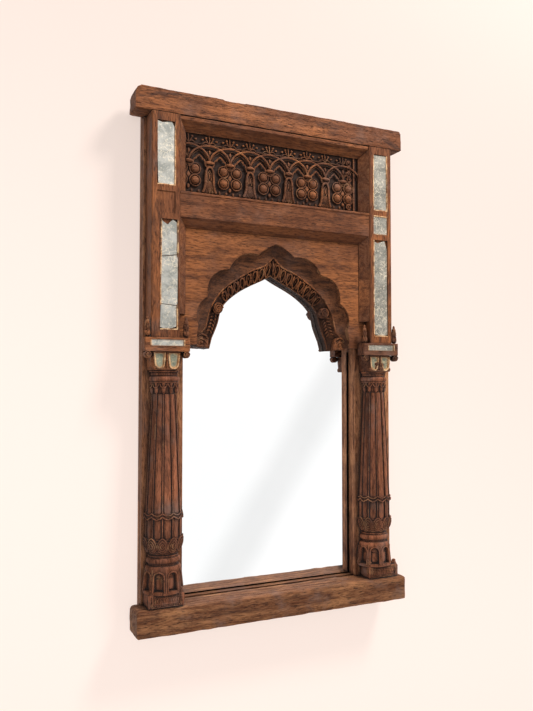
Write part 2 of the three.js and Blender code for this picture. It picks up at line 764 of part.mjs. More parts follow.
// Finials stand on the capital's ends, one each side of the pilaster's foot.
function addFinials(group, sideName, side) {
  const profile = [
    [0, 0], [finialRadius, 0], [finialRadius, finialHeight * 0.12], [finialRadius * 0.6, finialHeight * 0.2],
    [finialRadius, finialHeight * 0.38], [finialRadius * 0.7, finialHeight * 0.52],
    [finialRadius * 0.9, finialHeight * 0.6], [finialRadius * 0.5, finialHeight * 0.85], [0, finialHeight],
  ];
  const depth = capitalDepth - columnStandoff - capitalEdge - finialRadius;
  const z = capitalBase + capitalHeight + seam;
  const outer = pilasterWidth - columnInset + seam + finialRadius;
  const inner = capitalWidth / 2 - finialRadius;
  [['outer', side * outer], ['inner', -side * inner]].forEach(([place, x]) => {
    addPiece(group, `${sideName}_${place}_finial`, turned(profile, finialSides), darkWood, x, depth, z);
  });
}

function addColumn(sideName, side) {
  const group = new THREE.Group();
  group.position.set(side * columnAxis, -columnAxisDepth, sillHeight);
  frame.add(group);
  const shift = side < 0 ? leftColumnShift : 0;
  const base = side < 0 ? baseGeometry(leftPlinthWidth, 0) : baseGeometry(rightPlinthWidth, rightPlinthShift);
  addPiece(group, `${sideName}_column_base`, base, wood, shift, 0, 0);
  addPiece(group, `${sideName}_column_drum`, drumGeometry(), wood, shift, 0, petalRingBase);
  addPiece(group, `${sideName}_column_shaft`, shaftGeometry(), wood, shift, 0, shaftBase);
  addPiece(group, `${sideName}_capital_collar`, collarGeometry(), wood, shift, 0, collarBase);
  addBell(group, sideName);
  addCapital(group, sideName, side);
  addFinials(group, sideName, side);
}

// Frieze: interlaced arches that spring from pads, balls in fours and pendants below the pads.
function friezeCarving(bottom, top) {
  const left = -(pilasterInner - revealWidth);
  const firstPad = left + firstBayInset;
  const lastPad = -left - leafStripWidth - lastBayInset;
  const pitch = (lastPad - firstPad) / bayCount;
  const pieces = [];
  const arcSteps = 12;
  const inner = pitch - arcWidth / 2;
  const outer = pitch + arcWidth / 2;
  const rise = arcRise / pitch;
  for (let k = 0; k <= bayCount; k += 1) {
    const x = firstPad + k * pitch;
    const arc = [];
    for (let i = 0; i <= arcSteps; i += 1) {
      const angle = Math.PI * (i / arcSteps);
      arc.push([x + outer * Math.cos(angle), padRise + rise * outer * Math.sin(angle)]);
    }
    for (let i = arcSteps; i >= 0; i -= 1) {
      const angle = Math.PI * (i / arcSteps);
      arc.push([x + inner * Math.cos(angle), padRise + rise * inner * Math.sin(angle)]);
    }
    pieces.push(boardOf(arc, -seam, carvingRelief));
    const pad = roundedOutline(x - padWidth / 2, x + padWidth / 2, padRise - padHeight / 2,
      padRise + padHeight / 2, Array(4).fill(padHeight * 0.45), 2);
    pieces.push(boardOf(pad, -seam, padRelief));
    pieces.push(...(k % 2 === 0 ? ballCluster(x) : pendant(x)));
  }
  const lineFoot = padRise + arcRise + filletLineHeight;
  pieces.push(block(left, lastPad, -seam, carvingRelief, lineFoot, lineFoot + filletLineHeight));
  const stripX = -left - leafStripWidth;
  const filletX = -left - leafStripWidth / 4;
  pieces.push(block(filletX - filletLineHeight, filletX, -seam, carvingRelief, bottom, top));
  pieces.push(block(stripX - filletLineHeight / 2, stripX, -seam, carvingRelief / 2, bottom, top));
  return pieces;
}

function ballCluster(x) {
  const pieces = [];
  [lowerBallRise, upperBallRise].forEach((rise) => {
    [-ballOffset, ballOffset].forEach((offset) => {
      const ball = new THREE.SphereGeometry(ballRadius, 10, 6);
      ball.translate(x + offset, 0, rise);
      pieces.push(ball);
    });
  });
  const z = (lowerBallRise + upperBallRise) / 2;
  const diamond = [[x - diamondSize, z], [x, z - diamondSize], [x + diamondSize, z], [x, z + diamondSize]];
  pieces.push(boardOf(diamond, -seam, carvingRelief));
  return pieces;
}

// A pendant is a bell-shaped drop with a smaller drop raised in its middle.
const pendantShares = [
  [-0.5, 0], [0, 0.06], [0.5, 0], [0.34, 0.3], [0.3, 0.72], [0.16, 0.96], [0, 1], [-0.16, 0.96],
  [-0.3, 0.72], [-0.34, 0.3],
];
const dropShares = [[0, 0], [0.5, 0.42], [0.3, 0.8], [0, 1], [-0.3, 0.8], [-0.5, 0.42]];

function pendant(x) {
  const body = boardOf(plateOutline(pendantWidth, pendantHeight, pendantShares), -seam, carvingRelief);
  body.translate(x, 0, pendantFootRise);
  const drop = boardOf(plateOutline(dropWidth, dropHeight, dropShares), -seam, padRelief);
  drop.translate(x, 0, dropRise - dropHeight / 2);
  return [body, drop];
}

function addFrieze() {
  const thickness = friezeProjection - seam;
  const height = friezeHeight - seam;
  const half = carvedHalfWidth;
  const windowHalf = pilasterInner - revealWidth - seam;
  const windowTop = height - friezeMouldingHeight - seam;
  const ground = block(-half, half, 0, thickness, seam, height);
  const carving = join(friezeCarving(seam, windowTop)).translate([0, -thickness, 0]);
  const window = block(-windowHalf, windowHalf, 0, thickness + ballRadius, seam, windowTop);
  const panel = toSolid(ground).add(carving.intersect(toSolid(window)));
  addPiece(frame, 'frieze_panel', fromSolid(panel), darkWood, 0, seatOnStile, railTop);
}

// Sloping pieces that frame a sunk panel: each has a face that falls from its outer edge to the panel,
// and a mitred end where it meets the moulding across. The room for one is the same form, grown by
// the seam and run deeper by its last value.
function revealGeometry(side, from, to, back, front, grow, under) {
  const outer = carvedHalfWidth + grow;
  const inner = pilasterInner - revealWidth - grow;
  const mitre = to - (carvedHalfWidth - pilasterInner + revealWidth);
  const ring = (outerZ, innerZ) => [
    point(side * outer, back - under, outerZ), point(side * outer, front + grow, outerZ),
    point(side * inner, back + revealLip + grow, innerZ), point(side * inner, back - under, innerZ),
  ];
  return loft([ring(from - grow, from - grow), ring(to + grow, mitre + grow)]);
}

function addReveals() {
  const friezeBack = friezeFront + seam;
  const archBack = archFront + seam;
  const front = stileFront + revealProjection;
  const friezeFoot = railTop + seam;
  const mouldingFoot = lintelBottom - friezeMouldingHeight;
  const archFoot = pilasterFoot + finialHeight + 2 * seam;
  const friezeTop = mouldingFoot + revealWidth;
  [['left', -1], ['right', 1]].forEach(([sideName, side]) => {
    const frieze = revealGeometry(side, friezeFoot, friezeTop, friezeBack, front, 0, 0);
    addPiece(frame, `${sideName}_frieze_reveal`, frieze, darkWood, 0, 0, 0);
    const arch = revealGeometry(side, archFoot, railBottom, archBack, front, 0, 0);
    addPiece(frame, `${sideName}_arch_reveal`, arch, darkWood, 0, 0, 0);
  });
  const mouldingFront = stileFront + friezeMouldingProjection;
  const lip = lintelBottom - friezeMouldingLip;
  const outline = [
    [friezeBack, mouldingFoot], [mouldingFront, lip], [mouldingFront, lintelBottom - seam],
    [friezeBack, lintelBottom - seam],
  ];
  const cutters = [-1, 1].map((side) => (
    revealGeometry(side, friezeFoot, friezeTop, friezeBack, front, seam, cutOverrun)));
  const top = cut(moulding(outline, -carvedHalfWidth, carvedHalfWidth), cutters);
  addPiece(frame, 'frieze_top_moulding', fromSolid(top), wood, 0, 0, 0);
  const railFront = stileFront + middleRailProjection;
  const beadFoot = railTop - middleRailBead;
  const railOutline = [
    [seatOnStile, archTop], [archFront, archTop], [railFront, railBottom],
    [railFront, beadFoot], [railFront + beadProjection, beadFoot + beadProjection],
    [railFront + beadProjection, railTop - beadProjection], [railFront, railTop], [seatOnStile, railTop],
  ];
  const railCutters = [-1, 1].map((side) => (
    revealGeometry(side, archFoot, railBottom, archBack, front, seam, seam)));
  const rail = cut(moulding(railOutline, -carvedHalfWidth, carvedHalfWidth), railCutters);
  addPiece(frame, 'middle_rail', fromSolid(rail), wood, 0, 0, 0);
}

// Arch board. Half outlines run from the foot up to the point, as shares of the board's half width
// and of its height.
const cuspShares = [[0.808, 0.098], [0.792, 0.165], [0.706, 0.418], [0.49, 0.671], [0.19, 0.819], [0, 0.926]];
const cuspBowShares = [0, 0.2, 0.24, 0.19, 0.05];
const bandOuterShares = [
  [0.74, 0.112], [0.7, 0.157], [0.648, 0.33], [0.51, 0.51], [0.255, 0.67], [0.1, 0.731], [0, 0.816],
];
const bandInnerShares = [
  [0.611, 0.07], [0.555, 0.195], [0.503, 0.353], [0.335, 0.493], [0.08, 0.615], [0, 0.656],
];
const footOuterShare = 0.815;
const footInnerShares = [0.81, 0.735, 0.64];
const lobeSteps = 6;

function sizedArch(shares) {
  const half = carvedHalfWidth;
  const height = archTop - archBottom;
  return shares.map(([across, up]) => [across * half, archBottom + up * height]);
}

function cuspedEdge() {
  const corners = sizedArch(cuspShares);
  const edge = corners.slice(0, -1).flatMap((corner, i) => (
    bowed(corner, corners[i + 1], cuspBowShares[i], i === 0 ? 1 : lobeSteps)));
  return [...edge, corners.at(-1)];
}

function smoothEdge(shares, count) {
  const places = sizedArch(shares).map(([x, z]) => new THREE.Vector2(x, z));
  return new THREE.SplineCurve(places).getSpacedPoints(count - 1).map((place) => [place.x, place.y]);
}

function blend(first, second, share) {
  return first.map(([x, z], i) => [
    THREE.MathUtils.lerp(x, second[i][0], share), THREE.MathUtils.lerp(z, second[i][1], share)]);
}

function archRing(edge, outerHalf, leftEdge, footInner, footDrop, depth) {
  const footOuter = footOuterShare * carvedHalfWidth;
  const foot = archBottom - footDrop;
  const half = [
    [outerHalf, archTop - seam], [outerHalf, archBottom], [footOuter, archBottom], [footOuter, foot],
    [footInner, foot], ...edge,
  ];
  const mirrored = half.slice(0, -1).reverse().map(([x, z]) => [Math.max(-x, leftEdge), z]);
  return [...half, ...mirrored].map(([x, z]) => point(x, depth, z));
}

function addArchBoard() {
  const cusped = cuspedEdge();
  const outerBand = smoothEdge(bandOuterShares, cusped.length);
  const innerBand = smoothEdge(bandInnerShares, cusped.length);
  const feet = footInnerShares.map((share) => share * carvedHalfWidth);
  const wide = carvedHalfWidth;
  const narrow = openingHalfWidth - seam;
  const narrowLeft = openingLeft + seam;
  const bandFront = archFront - coveDepth;
  const bandBack = bandFront - bandDepth;
  const step = seatOnStile;
  const stepShare = (bandFront - step) / bandDepth;
  const lerp = THREE.MathUtils.lerp;
  const scoopShare = 0.35;
  const scoopDepthShare = 0.62;
  const scoop = blend(cusped, outerBand, scoopShare);
  const atStep = blend(outerBand, innerBand, stepShare);
  const stepFoot = lerp(feet[1], feet[2], stepShare);
  const stepDrop = archFootDrop * lerp(0.6, 1, stepShare);
  const back = stileBack + mirrorGap;
  const rings = [
    archRing(cusped, wide, -wide, feet[0], archFootDrop * 0.1, archFront),
    archRing(scoop, wide, -wide, lerp(feet[0], feet[1], scoopShare), archFootDrop * 0.3,
      archFront - scoopDepthShare * coveDepth),
    archRing(outerBand, wide, -wide, feet[1], archFootDrop * 0.6, bandFront),
    archRing(atStep, wide, -wide, stepFoot, stepDrop, step),
    archRing(atStep, narrow, narrowLeft, stepFoot, stepDrop, step),
    archRing(innerBand, narrow, narrowLeft, feet[2], archFootDrop, bandBack),
    archRing(innerBand, narrow, narrowLeft, feet[2], archFootDrop, back),
  ];
  addPiece(frame, 'arch_panel', loft(rings), wood, 0, 0, 0);
}

// Mirror glass with its backing board, held by battens on the stiles' backs.
function addMirror() {
  const half = mirrorHalfWidth - seam;
  const height = mirrorHead - mirrorFoot;
  const boardThickness = battenThickness - glassThickness - 2 * seam;
  const glass = block(-half, half, 0, glassThickness, 0, height);
  addPiece(frame, 'mirror_glass', glass, silvered, 0, boardThickness + seam, mirrorFoot);
  const board = block(-half, half, 0, boardThickness, 0, height);
  addPiece(frame, 'backing_board', board, hardboard, 0, 0, mirrorFoot);
  const thickness = battenThickness - seam;
  const outer = mirrorHalfWidth + battenWidth;
  const foot = mirrorFoot - seam - footBattenHeight;
  const head = mirrorHead + seam;
  const sideBatten = block(0, battenWidth, 0, thickness, 0, head - seam - foot);
  addPiece(frame, 'left_mirror_batten', sideBatten, plainWood, -outer, 0, foot);
  addPiece(frame, 'right_mirror_batten', sideBatten, plainWood, mirrorHalfWidth, 0, foot);
  const headBatten = block(-outer, outer, 0, thickness, 0, headBattenHeight);
  addPiece(frame, 'top_mirror_batten', headBatten, plainWood, 0, 0, head);
  const footBatten = block(-half, half, 0, thickness, 0, footBattenHeight);
  addPiece(frame, 'bottom_mirror_batten', footBatten, plainWood, 0, 0, foot);
}

// Ring hangers: a strap screwed to the stile's back, rolled into an eye at its top, and a ring that
// hangs in the eye.
function addHanger(sideName, side) {
  const group = new THREE.Group();
  const eyeRadius = ringWireRadius + eyeClearance;
  const eyeOuter = eyeRadius + eyeWall;
  const depth = stileBack - seam - eyeOuter;
  const x = side * (openingHalfWidth + hangerInset);
  group.position.set(x, -depth, frameHeight - hangerDrop);
  frame.add(group);
  const ring = new THREE.TorusGeometry(ringRadius, ringWireRadius, 8, 28);
  ring.rotateX(Math.PI / 2);
  addPiece(group, `${sideName}_hanger_ring`, ring, steel, 0, 0, -ringRadius);
  const eyeShape = new THREE.Shape().absarc(0, 0, eyeOuter, 0, 2 * Math.PI);
  eyeShape.holes.push(new THREE.Path().absarc(0, 0, eyeRadius, 0, 2 * Math.PI));
  const options = { depth: eyeLength, bevelEnabled: false, curveSegments: 8 };
  const eye = new THREE.ExtrudeGeometry(eyeShape, options);
  eye.rotateY(Math.PI / 2);
  eye.translate(-eyeLength / 2, 0, 0);
  const half = strapWidth / 2;
  const strapFront = eyeOuter;
  const strap = boardOf(roundedOutline(-half, half, -strapHeight, 0, Array(4).fill(half / 2), 3),
    strapFront - strapThickness, strapFront);
  const tongue = block(-eyeLength / 2, eyeLength / 2, strapFront - strapThickness, strapFront,
    -eyeOuter, eyeWall);
  const bore = new THREE.CylinderGeometry(eyeRadius, eyeRadius, strapWidth + cutOverrun, 24);
  bore.rotateZ(Math.PI / 2);
  const holes = [0, 1].map((k) => {
    const hole = new THREE.CylinderGeometry(strapHoleRadius, strapHoleRadius, cutOverrun * 2, 12);
    hole.translate(0, -strapFront, strapFootMargin - strapHeight + k * strapHoleSpacing);
    return hole;
  });
  const plate = join([eye, strap, tongue]).subtract(toSolid(bore));
  const drilled = holes.map(toSolid).reduce((whole, hole) => whole.subtract(hole), plate);
  addPiece(group, `${sideName}_hanger_plate`, fromSolid(drilled), steel, 0, 0, 0);
}

addBeams();
addStile('left_stile', -1, leftStileWidth, openingLeft);
addStile('right_stile', 1, rightStileWidth, openingHalfWidth);
addBackRails();
addPilaster('left', -1);
addPilaster('right', 1);
addColumn('left', -1);
addColumn('right', 1);
addFrieze();
addReveals();
addArchBoard();
addMirror();
addHanger('left', -1);
addHanger('right', 1);

export default frame;
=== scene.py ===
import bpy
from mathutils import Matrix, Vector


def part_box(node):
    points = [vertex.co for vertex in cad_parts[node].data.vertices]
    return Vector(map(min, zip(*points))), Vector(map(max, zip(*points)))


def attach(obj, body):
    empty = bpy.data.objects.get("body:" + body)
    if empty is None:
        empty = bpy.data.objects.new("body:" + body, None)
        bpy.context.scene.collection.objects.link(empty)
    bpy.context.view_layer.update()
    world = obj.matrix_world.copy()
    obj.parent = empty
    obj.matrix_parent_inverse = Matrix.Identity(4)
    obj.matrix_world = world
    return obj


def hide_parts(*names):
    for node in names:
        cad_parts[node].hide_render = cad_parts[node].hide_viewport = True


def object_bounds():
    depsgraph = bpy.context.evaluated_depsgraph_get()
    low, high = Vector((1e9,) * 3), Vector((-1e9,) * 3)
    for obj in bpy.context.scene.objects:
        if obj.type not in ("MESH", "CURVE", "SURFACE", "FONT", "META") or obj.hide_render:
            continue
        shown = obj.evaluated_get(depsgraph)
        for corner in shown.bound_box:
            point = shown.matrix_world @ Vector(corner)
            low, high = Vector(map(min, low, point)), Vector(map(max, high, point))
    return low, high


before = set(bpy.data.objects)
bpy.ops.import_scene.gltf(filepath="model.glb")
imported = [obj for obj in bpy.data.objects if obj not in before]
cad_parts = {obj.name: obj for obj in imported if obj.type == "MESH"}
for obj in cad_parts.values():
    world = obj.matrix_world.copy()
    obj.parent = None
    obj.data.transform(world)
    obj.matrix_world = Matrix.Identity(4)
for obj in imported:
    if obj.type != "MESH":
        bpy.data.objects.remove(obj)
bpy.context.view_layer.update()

import math
from collections import namedtuple

import bpy
from mathutils import Matrix, Vector

MM = 0.001
# Vertices nearer to each other than this, in metres, are merged.
ONE_SPOT = 0.00002

Sides = namedtuple("Sides", "left right back front foot head")

# Camera, solved from the photograph: metres, degrees and a 36 mm wide sensor.
CAMERA_PLACE = (-0.54576, -1.18352, -0.04081)
CAMERA_TURN = 24.86
CAMERA_PITCH = 2.22
CAMERA_LENS = 47.02

# Stage and light.
FLOOR_DROP = 0.85
WALL_GAP = 0.0006
WALL_SIZE = 9
WALL_CREAM = (1.1, 0.93, 0.848)
FLOOR_CREAM = (0.86, 0.83, 0.78)
ROOM_LIGHT = (1.0, 0.97, 0.93)
ROOM_STRENGTH = 0.44


def colour(red, green, blue):
    """A colour picked on a 0 to 255 scale, as linear light."""
    def linear(level):
        share = level / 255
        return share / 12.92 if share <= 0.04045 else ((share + 0.055) / 1.055) ** 2.4
    return (linear(red), linear(green), linear(blue), 1)


class Amount:
    """A number that varies over a surface: Python's operators add the Math nodes."""

    def __init__(self, finish, socket):
        self.finish = finish
        self.socket = socket

    def math(self, operation, *values):
        return self.finish.add("ShaderNodeMath", {"operation": operation}, dict(enumerate(values)))

    def __add__(self, other):
        return self.math("ADD", self, other)

    __radd__ = __add__

    def __sub__(self, other):
        return self.math("SUBTRACT", self, other)

    def __rsub__(self, other):
        return self.math("SUBTRACT", other, self)

    def __mul__(self, other):
        return self.math("MULTIPLY", self, other)

    def __abs__(self):
        return self.math("ABSOLUTE", self)

    def most(self, other):
        return self.math("MAXIMUM", self, other)

    def between(self, low, high, start=0, end=1):
        """This number from low to high, run smoothly from start to end."""
        settings = {"interpolation_type": "SMOOTHSTEP"}
        values = {"Value": self, "From Min": low, "From Max": high, "To Min": start, "To Max": end}
        return self.finish.add("ShaderNodeMapRange", settings, values)


class Finish:
    """A material or a world under construction: each method adds nodes and gives what comes out."""

    def __init__(self, name, tree=None):
        self.material = None
        if tree is None:
            self.material = bpy.data.materials.new(name)
            self.material.use_nodes = True
            tree = self.material.node_tree
        self.tree = tree
        self.tree.nodes.clear()

    def add(self, kind, settings=None, values=None, output=0):
        node = self.tree.nodes.new(kind)
        for name, value in (settings or {}).items():
            setattr(node, name, value)
        for key, value in (values or {}).items():
            if isinstance(value, Amount):
                self.tree.links.new(value.socket, node.inputs[key])
            else:
                node.inputs[key].default_value = value
        return Amount(self, node.outputs[output]) if len(node.outputs) else node

    def place(self):
        return self.add("ShaderNodeTexCoord", output="Object")

    def stretched(self, scale=(1, 1, 1), shift=(0, 0, 0)):
        """Object coordinates with a pattern scale for each axis."""
        return self.add("ShaderNodeMapping", {}, {"Vector": self.place(), "Scale": scale, "Location": shift})

    def along(self, vector, direction):
        """How far a vector reaches in a direction."""
        settings = {"operation": "DOT_PRODUCT"}
        return self.add("ShaderNodeVectorMath", settings, {0: vector, 1: direction}, "Value")

    def noise(self, vector, scale, detail, rough, distortion=0.0):
        values = {"Vector": vector, "Scale": scale, "Detail": detail, "Roughness": rough,
                  "Distortion": distortion}
        return self.add("ShaderNodeTexNoise", {}, values)

    def cells(self, vector, scale):
        """How far a place lies from the nearest line between cells."""
        settings = {"feature": "DISTANCE_TO_EDGE"}
        return self.add("ShaderNodeTexVoronoi", settings, {"Vector": vector, "Scale": scale}, "Distance")

    def mix(self, share, first, second):
        settings = {"data_type": "RGBA", "clamp_factor": True}
        return self.add("ShaderNodeMix", settings, {0: share, 6: first, 7: second}, 2)

    def shown(self, share, first, second):
        """The first shader, or by this share the second."""
        return self.add("ShaderNodeMixShader", {}, {0: share, 1: first, 2: second})

    def wander(self, vector, scale, amount):
        """Coordinates that stray a little, so that lines drawn on them are not straight."""
        stray = self.add("ShaderNodeTexNoise", {}, {"Vector": vector, "Scale": scale, "Detail": 2.0}, "Color")
        reach = (amount, amount, amount)
        settings = {"operation": "MULTIPLY_ADD"}
        return self.add("ShaderNodeVectorMath", settings, {0: stray, 1: reach, 2: vector})

    def hollow(self, reach, **settings):
        """1 in hollows and against neighbours, 0 in the open."""
        settings["samples"] = 6
        return 1 - self.add("ShaderNodeAmbientOcclusion", settings, {"Distance": reach}, "AO")

    def ridge(self, reach):
        """1 on thin raised work and along edges, 0 on broad faces."""
        return self.hollow(reach, inside=True, only_local=True)

    def bump(self, height, strength, depth):
        values = {"Height": height, "Strength": strength, "Distance": depth}
        return self.add("ShaderNodeBump", {}, values, "Normal")

    def surface(self, values):
        shader = self.add("ShaderNodeBsdfPrincipled", {}, values)
        self.add("ShaderNodeOutputMaterial", {}, {"Surface": shader})
        return self.material


# The wood's patterns: how they are drawn out along the grain, and how closely they lie.
GRAIN_SCALES = {"across": (0.09, 1, 1), "upright": (1, 1, 0.09)}
GRAIN_PITCH = 150
STAIN_PITCH = 46
STAIN_DRAW = 0.55
RING_PITCH = 22.5
EDGE_REACH = 0.0022
EDGE_SHARE = 0.4

# Shades of the old wood, picked from the photograph.
# WOOD_DEEP is the dark of the pores, and also the colour of the painted shade in hollows and recesses.
WOOD_DEEP = colour(24, 11, 6)
WOOD_DARK = colour(88, 49, 29)
WOOD_BROWN = colour(128, 76, 46)
WOOD_WARM = colour(164, 100, 58)
WOOD_WORN = colour(186, 134, 92)
WOOD_STAIN = colour(52, 32, 26)
WOOD_GREY = colour(124, 98, 88)


# The hollow settings set the painted shade in hollows; the sunk settings set the painted shade that deepens
# with distance from the front.
def old_wood(name, grain, dark=WOOD_DARK, brown=WOOD_BROWN, warm=WOOD_WARM, worn=WOOD_WORN, greying=0.25,
             hollow_reach=0.012, hollow_share=1.0, stains=0.45, sunk=None, depth_shade_share=0.8, seed=0.0):
    """Weathered, once oiled hardwood: rings and streaks along the grain, soiling and painted shade in
    hollows, worn edges.
    """
    finish = Finish(name)
    shift = (seed, seed * 0.7, -seed)

    def drawn_out(pitch, power):
        """Coordinates on which a pattern runs along the grain, the more so for a higher power."""
        return finish.stretched(tuple(pitch * share ** power for share in GRAIN_SCALES[grain]), shift)

    grained = drawn_out(GRAIN_PITCH, 1)
    plain = finish.stretched(shift=shift)
    streaks = finish.noise(grained, 1, 8, 0.68, 0.35)
    fine = finish.noise(grained, 4.2, 5, 0.75)
    broad = finish.noise(plain, 11, 3, 0.5)
    bend = finish.noise(drawn_out(1, 2), 9, 3, 0.5)
    rings = abs(bend.math("FRACT", bend * RING_PITCH) - 0.5) * 2
    tone = (streaks * 0.42 + rings * 0.1 + fine * 0.48).between(0.37, 0.63)
    shade = finish.mix(tone, dark, brown)
    shade = finish.mix(broad.between(0.4, 0.66) * tone, shade, warm)
    pores = finish.noise(grained, 6.5, 2, 0.6).between(0.54, 0.66)
    shade = finish.mix(pores * 0.75, shade, WOOD_DEEP)
    scuffs = finish.noise(plain, 38, 6, 0.7).between(0.5, 0.66)
    dust = finish.noise(plain, 17, 5, 0.62).between(0.5, 0.75)
    shade = finish.mix(dust * greying, shade, WOOD_GREY)
    stain = finish.noise(drawn_out(STAIN_PITCH, STAIN_DRAW), 1, 6, 0.7, 0.8).between(0.5, 0.66)
    shade = finish.mix(stain * stains, shade, WOOD_STAIN)
    wear = (finish.ridge(EDGE_REACH) * 1.5 * (0.35 + scuffs)).between(0.45, 1.2)
    shade = finish.mix(wear * EDGE_SHARE, shade, worn)
    # Painted shade: faces set further back, between the two sunk depths, darken towards WOOD_DEEP.
    if sunk:
        behind = finish.along(finish.place(), (0, 1, 0)).between(-sunk[0] * MM, -sunk[1] * MM)
        shade = finish.mix(behind * depth_shade_share, shade, WOOD_DEEP)
    # Painted shade: hollows, creases and faces close to other parts darken towards WOOD_DEEP, along with the
    # soiling that gathers there.
    hollow_soiling_and_shade = finish.hollow(hollow_reach) * hollow_share
    shade = finish.mix(hollow_soiling_and_shade.between(0.18, 0.72), shade, WOOD_DEEP)
    relief = streaks * 0.55 + fine * 0.3 - pores * 0.35 + scuffs * 0.12
    return finish.surface({
        "Base Color": shade, "Roughness": 0.78 - wear * 0.1 - tone * 0.16 + dust * 0.08, "IOR": 1.46,
        "Specular IOR Level": 0.22, "Normal": finish.bump(relief, 0.85, 0.0015)})


def aged_mirror(name, silver=colour(174, 172, 165), veil=colour(134, 135, 129), worn=colour(228, 214, 190),
                rust=colour(214, 150, 92), rust_share=0.5, seed=0.0):
    """Old hand-silvered glass: clouded silver, pale scribbles of cracks, rust and bare edges."""
    finish = Finish(name)
    plain = finish.stretched(shift=(seed, 0, seed))
    clouds = finish.noise(plain, 42, 6, 0.66, 0.6)
    shade = finish.mix(clouds.between(0.36, 0.62), veil, silver)
    strayed = finish.wander(plain, 70, 0.012)
    cracks = finish.cells(strayed, 105).between(0.0, 0.07, 1, 0)
    blotch = finish.noise(plain, 26, 4, 0.6)
    shade = finish.mix(cracks * blotch.between(0.45, 0.6) * 0.75, shade, worn)
    flakes = finish.noise(plain, 230, 4, 0.7).between(0.54, 0.64)
    shade = finish.mix(flakes * 0.5, shade, worn)
    edge = finish.hollow(0.005)
    rim = (edge * 1.6 + blotch * 0.7).between(0.62, 0.95)
    shade = finish.mix(rim * rust_share, shade, rust)
    # Darker where the frame lies close to the glass.
    shade = finish.mix(edge.between(0.5, 0.8) * 0.8, shade, WOOD_DARK)
    metal = 0.3 - rim * 0.3 - cracks * 0.2
    relief = clouds * 0.5 - cracks * 0.4 + flakes * 0.3
    return finish.surface({
        "Base Color": shade, "Roughness": 0.36 + clouds * 0.2 + rim * 0.3, "Metallic": metal.most(0),
        "Normal": finish.bump(relief, 0.4, 0.0006)})


def silvered_glass(name):
    """The new mirror: clean silvered glass, hardly smeared."""
    finish = Finish(name)
    plain = finish.stretched()
    smears = finish.noise(plain, 3, 4, 0.5)
    shade = finish.mix(smears.between(0.4, 0.7), colour(252, 252, 252), colour(246, 247, 247))
    return finish.surface({
        "Base Color": shade, "Metallic": 1.0, "Roughness": smears.between(0.3, 0.8, 0.012, 0.03)})


def hardboard(name):
    """Pressed fibre board: fine speckle and faint pale fibres."""
    finish = Finish(name)
    plain = finish.stretched()
    speckle = finish.noise(plain, 520, 3, 0.7)
    fibres = finish.noise(finish.stretched((1, 1, 0.25)), 260, 3, 0.7)
    shade = finish.mix(speckle.between(0.35, 0.65), colour(120, 88, 60), colour(160, 124, 88))
    shade = finish.mix(fibres.between(0.56, 0.7) * 0.5, shade, colour(188, 158, 120))
    return finish.surface({
        "Base Color": shade, "Roughness": 0.86 - fibres * 0.1, "Specular IOR Level": 0.25,
        "Normal": finish.bump(speckle + fibres, 0.35, 0.0004)})


def worn_steel(name):
    """Zinc-plated steel of the hangers: brushed, with dull spots."""
    finish = Finish(name)
    brushed = finish.noise(finish.stretched((1, 1, 6)), 400, 4, 0.6)
    spots = finish.noise(finish.stretched(), 210, 4, 0.6).between(0.55, 0.7)
    shade = finish.mix(brushed, colour(150, 146, 136), colour(186, 182, 172))
    shade = finish.mix(spots * 0.6, shade, colour(116, 96, 78))
    return finish.surface({
        "Base Color": shade, "Metallic": 0.95 - spots * 0.4, "Roughness": 0.32 + brushed * 0.16 + spots * 0.3,
        "Normal": finish.bump(brushed + spots, 0.2, 0.0002)})


def put_down():
    """Nothing selected, in object mode."""
    if bpy.context.mode != "OBJECT":
        bpy.ops.object.mode_set(mode="OBJECT")
    bpy.ops.object.select_all(action="DESELECT")


def take_up(piece):
    """The piece alone selected and active."""
    put_down()
    piece.select_set(True)
    bpy.context.view_layer.objects.active = piece


def settle(piece, name=None):
    """Leaves the piece's place in its mesh, with its object at the origin."""
    take_up(piece)
    bpy.ops.object.transform_apply(location=True, rotation=True, scale=True)
    if name:
        piece.name = name
    return piece


def work_on(piece, action="SELECT"):
    """The piece in edit mode, with all or nothing of it selected."""
    take_up(piece)
    bpy.ops.object.mode_set(mode="EDIT")
    bpy.ops.mesh.select_all(action=action)


def done():
    bpy.ops.object.mode_set(mode="OBJECT")


def face_out(piece):
    """Merges what lies on one spot and turns the faces outwards."""
    work_on(piece)
    bpy.ops.mesh.remove_doubles(threshold=ONE_SPOT)
    bpy.ops.mesh.normals_make_consistent(inside=False)
    done()
    return piece


def pick(piece, test, kind="FACE"):
    """The piece in edit mode, with those faces (by middle and normal) or vertices (by place and number)
    selected that pass the test."""
    work_on(piece, "DESELECT")
    bpy.ops.mesh.select_mode(type=kind)
    done()
    if kind == "FACE":
        for face in piece.data.polygons:
            face.select = bool(test(face.center / MM, face.normal))
    else:
        for vertex in piece.data.vertices:
            vertex.select = bool(test(vertex.co / MM, vertex.index))
    bpy.ops.object.mode_set(mode="EDIT")


def finish_with(piece, kind, **settings):
    """Adds a modifier and applies it."""
    take_up(piece)
    change = piece.modifiers.new(kind.lower(), kind)
    for name, value in settings.items():
        setattr(change, name, value)
    bpy.ops.object.modifier_apply(modifier=change.name)
    return piece


def soften(piece, levels=1):
    return finish_with(piece, "SUBSURF", levels=levels, render_levels=levels, use_limit_surface=False)


def ease_edges(piece, width, segments=2, angle=30):
    return finish_with(piece, "BEVEL", width=width * MM, segments=segments, limit_method="ANGLE",
                       angle_limit=math.radians(angle))


def smooth(piece, angle=35):
    take_up(piece)
    bpy.ops.object.shade_smooth_by_angle(angle=math.radians(angle))
    return piece


def rough_up(piece, size, depth, detail=2, middle=0.5):
    """Age worn into a surface: cloudy dents of a given size and depth in millimetres."""
    texture = bpy.data.textures.new(piece.name, "CLOUDS")
    texture.noise_scale = size * MM
    texture.noise_depth = detail
    return finish_with(piece, "DISPLACE", texture=texture, strength=depth * MM, mid_level=middle,
                       texture_coords="LOCAL")


